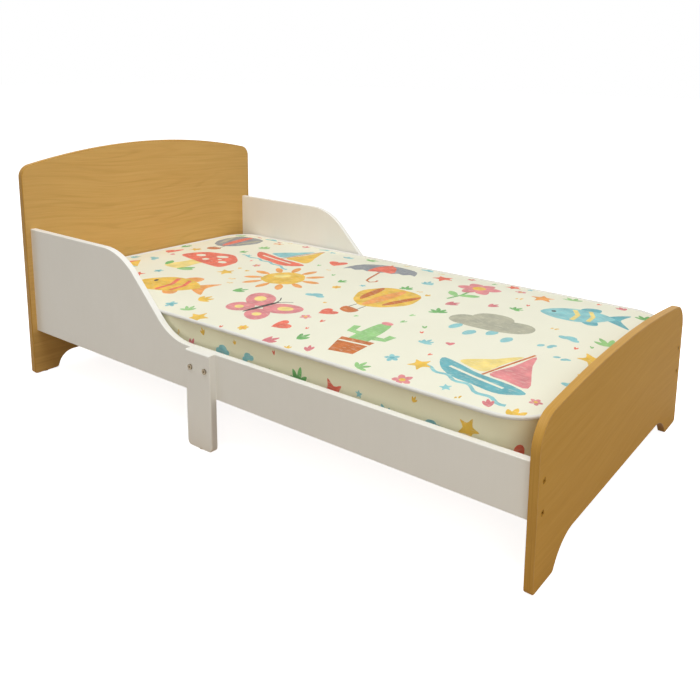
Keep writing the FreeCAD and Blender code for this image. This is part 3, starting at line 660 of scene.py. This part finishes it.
def boat(hull, main, jib):
    wave = np.linspace(-.48, .48, 25)
    return [(main, loop_through([(.03, .46), (.2, .2), (.4, -.1), (.2, -.15), (.03, -.14),
                                 (.05, .15)], 4)),
            (jib, loop_through([(-.03, .36), (-.03, .1), (-.03, -.14), (-.2, -.15), (-.33, -.1),
                                (-.16, .14)], 4)),
            ("rust", stroke([(0, .48), (0, .1), (0, -.2)], .025)),
            (hull, loop_through([(-.46, -.18), (0, -.2), (.46, -.18), (.34, -.36), (0, -.4),
                                 (-.32, -.36)], 5)),
            ("cream", stroke([(-.3, -.27), (0, -.285), (.3, -.27)], .03)),
            ("sky", stroke(np.stack([wave, -.44 + .02 * np.sin(wave * 26)], 1), .035))]


def mushroom(cap, stem, spots):
    parts = [(stem, loop_through([(-.1, .02), (.1, .02), (.12, -.2), (.16, -.42), (0, -.47),
                                  (-.16, -.42), (-.12, -.2)], 4)),
             (cap, loop_through([(-.45, -.02), (-.36, .26), (0, .44), (.36, .26), (.45, -.02),
                                 (.2, -.08), (-.2, -.08)]))]
    parts += [(spots, oval(x, y, size, size * .8, .3, 14)) for x, y, size in (
        (-.24, .12, .07), (.02, .28, .08), (.25, .12, .06), (-.02, .05, .05), (.12, .17, .03))]
    return parts + [("leaf", petal(.14, -.45, .22, .1, 1.0)),
                    ("green", petal(.16, -.45, .2, .1, .5)),
                    ("leaf", petal(-.14, -.45, .2, .1, 2.2))]


def umbrella(first, second):
    rim = [(math.cos(a) * .48, math.sin(a) * .42) for a in np.linspace(0, math.pi, 13)]
    scallops = [(-.48 + .16 * k + .08 * (m + 1), .05 * (m == 0)) for k in range(6) for m in (0, 1)]
    crook = [(0, .05), (0, -.3), (.01, -.42), (.07, -.47), (.13, -.42), (.13, -.36)]
    return [("rust", stroke(crook, .03)), (first, np.array(rim + scallops[:-1])),
            (second, loop_through([(0, .42), (.13, .25), (.16, .02), (0, .05), (-.16, .02),
                                   (-.13, .25)], 4)),
            ("rust", stroke([(0, .4), (0, .47)], .03))]


def fish(body, fins, stripes):
    return [(fins, loop_through([(.22, 0), (.47, .2), (.4, 0), (.47, -.2)], 6)),
            (fins, petal(-.02, .14, .24, .2, .6)), (fins, petal(.02, -.14, .2, .16, -.7)),
            (body, loop_through([(-.42, 0), (-.2, .2), (.1, .2), (.3, .04), (.3, -.04), (.1, -.2),
                                 (-.2, -.2)])),
            (stripes, stroke([(-.08, .19), (-.03, 0), (-.08, -.19)], .05)),
            (stripes, stroke([(.08, .18), (.12, 0), (.08, -.18)], .045)),
            ("coal", oval(-.27, .05, .025, .03, 0, 12))]


def butterfly(wings, spots):
    both = (-1, 1)
    parts = [(wings, oval(side * .22, .14, .23, .17, side * .5)) for side in both]
    parts += [(wings, oval(side * .17, -.16, .17, .14, -side * .5)) for side in both]
    parts += [(spots, oval(side * .24, .15, .09, .07, side * .5, 16)) for side in both]
    parts += [(spots, oval(side * .18, -.17, .06, .05, 0, 14)) for side in both]
    parts += [("coal", stroke([(0, .2), (side * .05, .3), (side * .12, .36)], .014))
              for side in both]
    return parts + [("coal", oval(0, 0, .03, .24, 0, 16))]


def bloom(petals, middle, count=6, stem=True):
    parts = [("leaf", stroke([(0, 0), (.02, -.25), (-.02, -.5)], .035)),
             ("green", petal(0, -.3, .28, .13, .5)),
             ("green", petal(0, -.36, .26, .12, 2.5))] if stem else []
    up = .16 if stem else 0
    parts += [(petals, petal(0, up, .3, .2, 2 * math.pi * k / count + .3)) for k in range(count)]
    return parts + [(middle, oval(0, up, .09, .09, 0, 16))]


def sun(disc, rays):
    parts = [(rays, petal(.24 * math.cos(a), .24 * math.sin(a), .22, .09, a))
             for a in np.linspace(0, 2 * math.pi, 11, endpoint=False)]
    return parts + [(disc, oval(0, 0, .25, .25, 0, 30)),
                    ("butter", oval(-.06, .07, .1, .07, .7, 16))]


def kite(first, second, third):
    tail = np.linspace(0, 1, 16)
    line = np.stack([.05 * np.sin(tail * 9), -.14 - .36 * tail], 1)
    parts = [("coal", stroke(line, .012)), (first, np.array([(0, .5), (.28, .2), (0, .2)])),
             (second, np.array([(0, .5), (0, .2), (-.28, .2)])),
             (third, np.array([(.28, .2), (0, -.16), (0, .2)])),
             (first, np.array([(-.28, .2), (0, .2), (0, -.16)]))]
    for x, y in line[[6, 11]]:
        parts += [(second, petal(x, y, .1, .09, turn)) for turn in (.2, 2.9)]
    return parts


def rain_cloud(cloud, drops):
    parts = [(drops, petal(x, -.2 - .1 * (k % 2), .17, .1, 1.3))
             for k, x in enumerate((-.28, -.1, .08, .26))]
    puffs = ((-.26, .1, .18, .14), (-.04, .22, .22, .18), (.22, .13, .2, .15), (0, .06, .38, .13))
    return parts + [(cloud, oval(*puff)) for puff in puffs]


def cactus(body, pot):
    return [(body, loop_through([(-.1, -.2), (-.11, .1), (-.08, .36), (0, .42), (.08, .36),
                                 (.11, .1), (.1, -.2)], 4)),
            (body, stroke([(.08, -.05), (.24, -.04), (.27, .1)], .1)),
            (body, stroke([(-.08, .02), (-.22, .04), (-.24, .2)], .09)),
            (pot, np.array([(-.2, -.16), (.2, -.16), (.14, -.48), (-.14, -.48)])),
            ("cream", stroke([(-.18, -.25), (.18, -.25)], .03)),
            ("pink", oval(0, .42, .07, .05, 0, 14))]


def sprig(color, count, spread=1.0):
    leaves = []
    for k in range(count):
        off = k - (count - 1) / 2
        turn = math.pi / 2 + spread * off * .55
        leaves.append((color, petal(0, -.3, .66 - .12 * abs(off), .2, turn)))
    return leaves


def star(color):
    angle = np.linspace(math.pi / 2, 2.5 * math.pi, 10, endpoint=False)
    radius = np.where(np.arange(10) % 2, .24, .48)
    return [(color, loop_through(np.stack([radius * np.cos(angle), radius * np.sin(angle)], 1), 3))]


def heart(color):
    t = np.linspace(0, 2 * math.pi, 26, endpoint=False)
    high = .36 * np.cos(t) - .14 * np.cos(2 * t) - .06 * np.cos(3 * t)
    return [(color, np.stack([.42 * np.sin(t) ** 3, high], 1))]


def puff(color):
    return [(color, oval(x, y, wide, high)) for x, y, wide, high in (
        (-.2, -.03, .2, .14), (.03, .08, .24, .19), (.24, -.03, .18, .13))]


def drops(color):
    return [(color, petal(x, y, .34, .22, turn)) for x, y, turn in (
        (-.3, -.2, 1.2), (.1, -.1, 1.7), (0, .1, .9))]


# Each large motif with its place, as shares of the half length and the half width, its size in
# metres and its turn.
large_motifs = (
    (-.83, .56, .200, .15, balloon("grey", "coral", "stone")),
    (-.45, .54, .225, -.2, boat("coral", "yellow", "sky")),
    (-.03, .58, .215, .25, umbrella("grey", "coral")),
    (.37, .60, .185, -.1, bloom("pink", "yellow")),
    (.78, .56, .220, .3, fish("sky", "teal", "butter")),
    (-.68, -.02, .215, -.15, mushroom("coral", "butter", "cream")),
    (-.25, .00, .225, .2, sun("yellow", "orange")),
    (.18, .00, .215, -.1, balloon("yellow", "orange", "rust")),
    (.60, -.02, .225, .1, rain_cloud("stone", "sky")),
    (-.87, -.58, .190, .1, kite("yellow", "coral", "sky")),
    (-.49, -.60, .235, .25, fish("yellow", "orange", "coral")),
    (-.07, -.58, .205, -.2, butterfly("pink", "butter")),
    (.36, -.58, .195, .1, cactus("green", "rust")),
    (.78, -.55, .215, -.25, boat("teal", "pink", "butter")))
small_motifs = (
    sprig("green", 5), sprig("leaf", 3), sprig("sky", 5), sprig("yellow", 4), sprig("rose", 3, .8),
    star("yellow"), star("orange"), heart("coral"), puff("sky"), drops("sky"), puff("sky"),
    bloom("pink", "yellow", 5, False), bloom("sky", "teal", 5, False), sprig("sky", 4, 1.2),
    bloom("yellow", "orange", 6, False), sprig("green", 4, 1.3), sprig("leaf", 5, 1.2),
    star("coral"))
tiny_motifs = (heart("rose"), drops("yellow"), sprig("green", 2), star("sky"), sprig("coral", 2),
               sprig("yellow", 3))


def printed(parts, x, y, size, turn):
    """A motif's outlines at their place on the flat cloth, cut a little unevenly."""
    placed = []
    for ink, outline in parts:
        phase = random.uniform(0, 6)
        angle = np.arctan2(outline[:, 1], outline[:, 0])
        hand = 1 + 0.025 * np.sin(3 * angle + phase) + 0.015 * np.sin(7 * angle + 2 * phase)
        flat = swung(outline * hand[:, None], turn) * size + (x, y)
        placed.append((ink_names.index(ink), flat))
    return placed


def scattered(wide, high, taken, kinds, sizes, room, tries, margin):
    """Places for small motifs that keep clear of each other and of the ones already there."""
    found = []
    for _ in range(tries):
        size = random.uniform(*sizes)
        x, y = (random.uniform(margin - half, half - margin) for half in (wide, high))
        if all(math.hypot(x - other_x, y - other_y) > reach + size / 2 + room
               for other_x, other_y, reach in taken):
            taken.append((x, y, size / 2))
            found += printed(random.choice(kinds), x, y, size, random.uniform(-0.6, 0.6))
    return found


def kept_inside(outline, clip):
    """The part of an outline inside a convex border."""
    for start, end in zip(clip, np.roll(clip, -1, 0)):
        edge = end - start
        side = edge[0] * (outline[:, 1] - start[1]) - edge[1] * (outline[:, 0] - start[0])
        if (side >= 0).all():
            continue
        if (side < 0).all():
            return outline[:0]
        kept = []
        for index in range(len(outline)):
            after = (index + 1) % len(outline)
            if side[index] >= 0:
                kept.append(outline[index])
            if (side[index] >= 0) != (side[after] >= 0):
                share = side[index] / (side[index] - side[after])
                kept.append(outline[index] + share * (outline[after] - outline[index]))
        outline = np.array(kept)
    return outline


def trimmed(prints, clip):
    """Printed outlines cut off at a convex border, without those that lie beyond it."""
    prints = [(ink, kept_inside(outline, clip)) for ink, outline in prints]
    return [(ink, outline) for ink, outline in prints if len(outline) > 2]


def cut_cloth(border, fill, outlines):
    """Flat cloth as triangles whose edges follow the motifs, and the ink of each triangle."""
    verts = [Vector(point) for point in border]
    edges = [(index, (index + 1) % len(border)) for index in range(len(border))]
    for _, outline in outlines:
        first, count = len(verts), len(outline)
        verts += [Vector(point) for point in outline]
        edges += [(first + index, first + (index + 1) % count) for index in range(count)]
    verts += [Vector(point) for point in fill]
    points, _, faces, _, _, _ = delaunay_2d_cdt(verts, edges, [], 0, 1e-6)
    points = np.array([tuple(point) for point in points])
    faces = np.array([tuple(face) for face in faces])
    middles = points[faces].mean(1)
    ink = np.zeros(len(faces), int)
    for number, outline in outlines:
        low, high = outline.min(0), outline.max(0)
        near = np.flatnonzero(((middles >= low) & (middles <= high)).all(1))
        x, y = middles[near].T
        inside = np.zeros(len(near), bool)
        for (ax, ay), (bx, by) in zip(outline, np.roll(outline, -1, 0)):
            crossed = (ay > y) != (by > y)
            with np.errstate(divide="ignore", invalid="ignore"):
                inside ^= crossed & (x < (bx - ax) * (y - ay) / (by - ay) + ax)
        ink[near[inside]] = number
    return points, faces, ink


print_seed = 17
print_margin = 0.0015  # between the print and a cut edge of the cloth
random.seed(print_seed)
taken = [(u * half_long, v * half_wide, size * .47) for u, v, size, _, _ in large_motifs]
top_print = [outline for u, v, size, turn, parts in large_motifs
             for outline in printed(parts, u * half_long, v * half_wide, size, turn)]
top_print += scattered(half_long, half_wide, taken, small_motifs, sizes=(.040, .070), room=.007,
                       tries=3000, margin=.02)
top_print += scattered(half_long, half_wide, taken, tiny_motifs, sizes=(.018, .030), room=.009,
                       tries=1200, margin=.012)
taken = []
band_print = scattered(girth / 2, band_high / 2, taken, small_motifs, sizes=(.040, .062),
                       room=.020, tries=2500, margin=.030)
band_print += scattered(girth / 2, band_high / 2, taken, tiny_motifs, sizes=(.016, .026),
                        room=.012, tries=600, margin=.012)
band_print = [(ink, outline + (girth / 2, band_high / 2)) for ink, outline in band_print]

# The flat cloth's points: closer rows beside the seam, then a grid, a little off the lines that
# the border's points make.
ring = np.linspace(0, girth, 720, endpoint=False)
clip, _ = around(np.linspace(0, girth, 200, endpoint=False), tuck + print_margin)
border, _ = around(ring, tuck)
rows = [around(ring, tuck + step)[0] for step in (0.003, 0.007, 0.013, 0.020)]
grid_step, grid_start, grid_shift = 0.010, 0.026, 0.0013
grid = np.stack(np.meshgrid(np.arange(-half_long, half_long, grid_step),
                            np.arange(-half_wide, half_wide, grid_step)), -1).reshape(-1, 2)
grid = grid[depth_in(grid) > grid_start] + grid_shift
top_flat, top_faces, top_ink = cut_cloth(border, np.concatenate(rows + [grid]),
                                         trimmed(top_print, clip))
under_flat, under_faces, under_ink = cut_cloth(border, grid[::3], [])

levels = np.linspace(0, band_high, 13)[1:-1]
closed_ring = np.append(ring, girth)
sides = np.concatenate([np.stack(np.broadcast_arrays(along, up), 1) for along, up in (
    (closed_ring, 0.0), (girth, levels), (closed_ring[::-1], band_high), (0.0, levels[::-1]))])
fill = np.stack(np.meshgrid(ring[1:], levels), -1).reshape(-1, 2)
end_margin = 0.002  # between the print and the band's own seam
left, right, lower, upper = end_margin, girth - end_margin, print_margin, band_high - print_margin
clip = np.array([(left, lower), (right, lower), (right, upper), (left, upper)])
band_flat, band_faces, band_ink = cut_cloth(sides, fill, trimmed(band_print, clip))


def puckers(distance, away, seed):
    """Fine gathers that the seam pulls into the cloth, gone a couple of centimetres from it."""
    height, fade, start = 0.00016, 0.010, 0.003
    random.seed(seed)
    total = sum(random.uniform(.4, 1)
                * np.sin(2 * math.pi * (waves * distance / girth + random.random()))
                for waves in random.sample(range(90, 260), 14))
    return height * total * np.exp(-away / fade) * np.minimum(1, away / start)


def top_places(flat):
    """Where the flat top lies: drawn in at its seam, rolled over it, crowned and a bit uneven."""
    roll, roll_fade, seam_fade, push_fade = 0.0014, 0.006, 0.03, 0.012
    flat_from, dome, uneven, given_way = 0.62, 2.6, 0.0005, 0.45
    x, y = flat.T
    distance, past_seam = nearest_distance(flat), depth_in(flat) - tuck
    inward, lift = slack(distance)
    _, out = around(distance, 0)
    near = np.exp(-past_seam / seam_fade)
    rise = 1 - (1 - np.clip(past_seam / (flat_from * half_wide), 0, 1)) ** dome
    swell = uneven * (np.sin(x * 23 + 2 * np.sin(y * 15)) + np.sin(y * 27 + 1.5 * np.sin(x * 9)))
    height = seam + (crown - roll) * rise + roll * (1 - np.exp(-past_seam / roll_fade))
    height += lift * near + swell * (1 - near) + puckers(distance, past_seam, seed=31)
    places = np.column_stack([flat - out * (inward * near)[:, None], height])
    places[:, 2] += given_way * fullness(places)[:, 2] * (1 - np.exp(-past_seam / push_fade))
    return places


def band_places(flat):
    """Where the flat side band lies: drawn in at both seams and along its middle."""
    drawn_in, waist, pinch, pinch_fade, most = 0.003, 0.004, 0.002, 0.0025, 0.002
    distance, up = flat.T
    share = up / band_high
    arch = np.sin(math.pi * share)
    inward, lift = slack(distance)
    edge = np.minimum(up, band_high - up)
    inset = drawn_in + waist * arch ** 2 + pinch * np.exp(-edge / pinch_fade)
    inset -= puckers(distance, edge, seed=32)
    where, out = around(distance, inset + inward * share)
    places = np.column_stack([where, base + up + lift * share])
    push = (fullness(places)[:, :2] * out).sum(1)
    places[:, :2] += out * (np.clip(push, 0, most) * arch)[:, None]
    return places


top, band = top_places(top_flat), band_places(band_flat)
under = np.column_stack([under_flat, np.full(len(under_flat), base)])
places = np.concatenate([top, band, under])
faces = np.concatenate([top_faces, band_faces + len(top),
                        under_faces[:, ::-1] + len(top) + len(band)])
flats = np.concatenate([top_flat, band_flat, under_flat])
mesh = bpy.data.meshes.new("mattress_cover_cloth")
mesh.from_pydata(places.tolist(), [], faces.tolist())
flat_map = mesh.uv_layers.new(name="flat")
flat_map.data.foreach_set("uv", flats[faces.ravel()].ravel())
# The band's ground takes ink 1, the cream with painted shade.
used = np.concatenate([top_ink, np.maximum(band_ink, 1), under_ink])
colors = np.array(list(inks.values()))[used]
colors[:, 3] = used > 1
ink_layer = mesh.color_attributes.new("ink", "FLOAT_COLOR", "CORNER")
ink_layer.data.foreach_set("color", np.repeat(colors, 3, axis=0).ravel())
mesh.shade_smooth()
form = bmesh.new()
form.from_mesh(mesh)
rims = [vert for vert in form.verts if vert.is_boundary]
bmesh.ops.remove_doubles(form, verts=rims, dist=2e-5)
crease = 0.9  # radians
for edge in form.edges:
    if len(edge.link_faces) == 2 and edge.calc_face_angle(0) > crease:
        edge.smooth = False
form.to_mesh(mesh)

cotton, tree, surface = new_finish("printed_cotton")
flat_uv = made(tree, "ShaderNodeUVMap", uv_map="flat")
painted = put(tree, "ShaderNodeAttribute", attribute_name="ink").outputs
weave = times(tree, *(bands(tree, flat_uv, 420.0, 0.8, way) for way in "XY"))
brushed = made(tree, "ShaderNodeMapping", {
    "Vector": flat_uv, "Rotation": (0, 0, 0.5), "Scale": (70, 260, 1)})
thin = between(tree, mottle(tree, brushed, 1.0, 4.0, 0.6), grey(0), grey(0.40), 0.52, 0.76)
thin = times(tree, thin, painted["Alpha"])
pools = between(tree, mottle(tree, flat_uv, 34.0, 3.0), (0.84, 0.84, 0.86, 1),
                (1.12, 1.10, 1.08, 1), 0.32, 0.68)
patches = between(tree, mottle(tree, flat_uv, 6.0, 2.0), (0.97, 0.97, 0.95, 1), grey(1.02))
yarns = between(tree, weave, (0.85, 0.85, 0.84, 1), grey(1.08), 0.1, 0.6)
tone = blended(tree, painted["Alpha"], painted["Color"], times(tree, painted["Color"], pools))
tone = blended(tree, thin, tone, inks["cream"])
tone = times(tree, times(tree, tone, patches, 0.5), yarns, 0.12)
feed(tree, surface, {"Base Color": tone, "Normal": relief(tree, weave, 0.00018, 0.6),
                     "Roughness": 0.88, "Specular IOR Level": 0.2, "Sheen Weight": 0.12})
mesh.materials.append(cotton)
cover = set_down("mattress_cover_cloth", mesh)
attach(cover, "mattress")
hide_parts("mattress_cover")


# Piping: an 8 mm cord in a bias strip of white cotton, sewn into both seams of the band.  The
# strip twists a little round the cord, so fine slanted creases run along it, with painted shade
# in their hollows.
piping_cloth, tree, surface = new_finish("white_bias_cotton")
slanted = made(tree, "ShaderNodeMapping", {
    "Vector": made(tree, "ShaderNodeUVMap", uv_map="along"), "Rotation": (0, 0, 0.6),
    "Scale": (900, 26, 1)})
wrinkles_and_painted_shade = mottle(tree, slanted)
feed(tree, surface, {
    # Painted shade: the strip's white is a little darker where the wrinkle noise dips.
    "Base Color": between(tree, wrinkles_and_painted_shade, tint(228, 227, 221), tint(239, 238, 233)),
    "Normal": relief(tree, wrinkles_and_painted_shade, 0.00035), "Roughness": 0.8, "Sheen Weight": 0.15})

piping_tree, given = growth_tree("piping", ("Radius", "Float", cord_radius), ("Sides", "Int", 14))


def measured(curve, name):
    """A curve that keeps the length run at each of its points under a name."""
    run = put(piping_tree, "GeometryNodeSplineParameter").outputs["Length"]
    return made(piping_tree, "GeometryNodeStoreNamedAttribute",
                {"Geometry": curve, "Name": name, "Value": run}, data_type="FLOAT", domain="POINT")


cord = made(piping_tree, "GeometryNodeCurvePrimitiveCircle", {
    "Resolution": given["Sides"], "Radius": given["Radius"]})
tube = made(piping_tree, "GeometryNodeCurveToMesh", {
    "Curve": measured(given["Geometry"], "run"), "Profile Curve": measured(cord, "turn")})
end_tree(piping_tree, tube, piping_cloth)


def seam_curve(inset, height):
    """A closed curve along the sewn edge of the mattress, with a height at each of its points."""
    inward, _ = slack(ring)
    share = (height - base) / band_high
    where, _ = around(ring, inset + inward * share)
    data = bpy.data.curves.new("seam_line", "CURVE")
    data.dimensions = "3D"
    line = data.splines.new("POLY")
    line.points.add(len(ring) - 1)
    for point, (x, y), z in zip(line.points, where, height):
        point.co = (x, y, z, 1)
    line.use_cyclic_u = True
    return set_down("seam_line", data)


_, lift = slack(ring)
for level, height in (("upper", seam + lift), ("lower", np.full(len(ring), base + cord_radius))):
    curve = seam_curve(cord_radius, height)
    mesh = grown(curve, piping_tree, {"Radius": cord_radius, "Sides": 14})
    bpy.data.objects.remove(curve)
    mesh.shade_smooth()
    piping = set_down("piping_" + level, mesh)
    wrap = mesh.uv_layers.new(name="along")
    corners = [loop.vertex_index for loop in mesh.loops]
    wrap.data.foreach_set("uv", np.stack([
        np.array([item.value for item in mesh.attributes[name].data])[corners]
        for name in ("turn", "run")], 1).ravel())
    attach(piping, "mattress")
    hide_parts("mattress_piping_" + level)


# Camera at the photograph's viewpoint, fitted to the edges of the boards and panels.
camera = set_down("camera", bpy.data.cameras.new("camera"))
camera.location = (1.1410, -1.3502, 0.7923)
camera.rotation_euler = (1.39164, -0.01960, 0.61950)
camera.data.lens = 38.745
camera.data.shift_x = -0.0714
camera.data.shift_y = -0.2
camera.data.clip_start = 0.05
bpy.context.scene.camera = camera


# Floor and surroundings: a pale floor that keeps the bed's shadow and fades to white with the
# distance, and white surroundings.  Only the camera, gloss and glass see them so.  Under the bed
# the
# floor has painted shade: gloss sees it dark there, and the light that the floor throws back, warm
# elsewhere, is a darker orange there.
def looked_at(tree):
    """One for the rays of the camera, of gloss and of glass, and one for gloss alone."""
    rays = put(tree, "ShaderNodeLightPath").outputs
    seen = worked(tree, "MAXIMUM", rays["Is Camera Ray"], rays["Is Glossy Ray"])
    return worked(tree, "MAXIMUM", seen, rays["Is Transmission Ray"]), rays["Is Glossy Ray"]


ground, tree, surface = new_finish("pale_floor")
tree.nodes.remove(surface)
seen, gloss = looked_at(tree)
away = put(tree, "ShaderNodeVectorMath", {0: on_piece(tree)}, operation="LENGTH").outputs["Value"]
fade = made(tree, "ShaderNodeMapRange", {"Value": away, "From Min": 1.0, "From Max": 2.6,
                                         "To Min": 0.86}, interpolation_type="SMOOTHSTEP")
shares = on_piece(tree, (1 / cad_box[1].x, 1 / cad_box[1].y, 0))
shares = made(tree, "ShaderNodeVectorMath", {0: shares}, operation="ABSOLUTE")
shares = put(tree, "ShaderNodeSeparateXYZ", {0: shares}).outputs
outward = worked(tree, "MAXIMUM", shares["X"], shares["Y"])
beyond = made(tree, "ShaderNodeMapRange", {"Value": outward, "From Min": 0.97, "From Max": 1.25})
# Painted shade under the bed: gloss sees the floor at 0.3 of its glow there, and the light it
# throws back is a darker orange.
painted_shade_under_bed = made(tree, "ShaderNodeMapRange", {"Value": beyond, "To Min": 0.3})
gloss_painted_shade = worked(tree, "MAXIMUM", painted_shade_under_bed, worked(tree, "SUBTRACT", 1.0, gloss))
glow = worked(tree, "MULTIPLY", seen, worked(tree, "MULTIPLY", fade, gloss_painted_shade))
bounce_with_painted_shade = blended(tree, beyond, (0.42, 0.25, 0.09, 1), (0.40, 0.32, 0.23, 1))
paint = made(tree, "ShaderNodeBsdfDiffuse", {"Color": blended(tree, seen, bounce_with_painted_shade, grey(0.93))})
light = made(tree, "ShaderNodeEmission", {"Strength": glow})
feed(tree, tree.nodes["Material Output"], {
    "Surface": made(tree, "ShaderNodeAddShader", {0: paint, 1: light})})
floor_reach = 30
sheet = bmesh.new()
bmesh.ops.create_grid(sheet, x_segments=2, y_segments=2, size=floor_reach)
mesh = bpy.data.meshes.new("floor")
sheet.to_mesh(mesh)
mesh.materials.append(ground)
floor = set_down("floor", mesh)

world = bpy.data.worlds.new("surroundings")
world.use_nodes = True
bpy.context.scene.world = world
seen, _ = looked_at(world.node_tree)
feed(world.node_tree, world.node_tree.nodes["Background"], {
    "Color": blended(world.node_tree, seen, (0.31, 0.305, 0.29, 1), grey(1))})


# Lamps: a wide soft box overhead, a weaker warm one beside the camera and a faint one beyond the
# foot of the bed.
def soft_box(name, place, target, size, power, color):
    lamp = bpy.data.lights.new(name, "AREA")
    lamp.shape = "RECTANGLE"
    lamp.size, lamp.size_y = size
    lamp.energy, lamp.color = power, color
    holder = set_down(name, lamp)
    holder.location = place
    holder.rotation_euler = (Vector(target) - Vector(place)).to_track_quat("-Z", "Y").to_euler()


soft_box("overhead", (0.2, -0.6, 3.0), (0, 0, 0.2), (2.6, 2.0), 57, (1.0, 1.0, 1.0))
soft_box("front", (2.2, -2.4, 1.5), (0, 0, 0.3), (1.6, 1.2), 16, (1.0, 0.99, 0.93))
soft_box("far", (2.6, 1.6, 2.2), (0, 0, 0.2), (1.2, 1.2), 12, (1.0, 0.99, 0.94))

bpy.context.scene.view_settings.view_transform = "Standard"
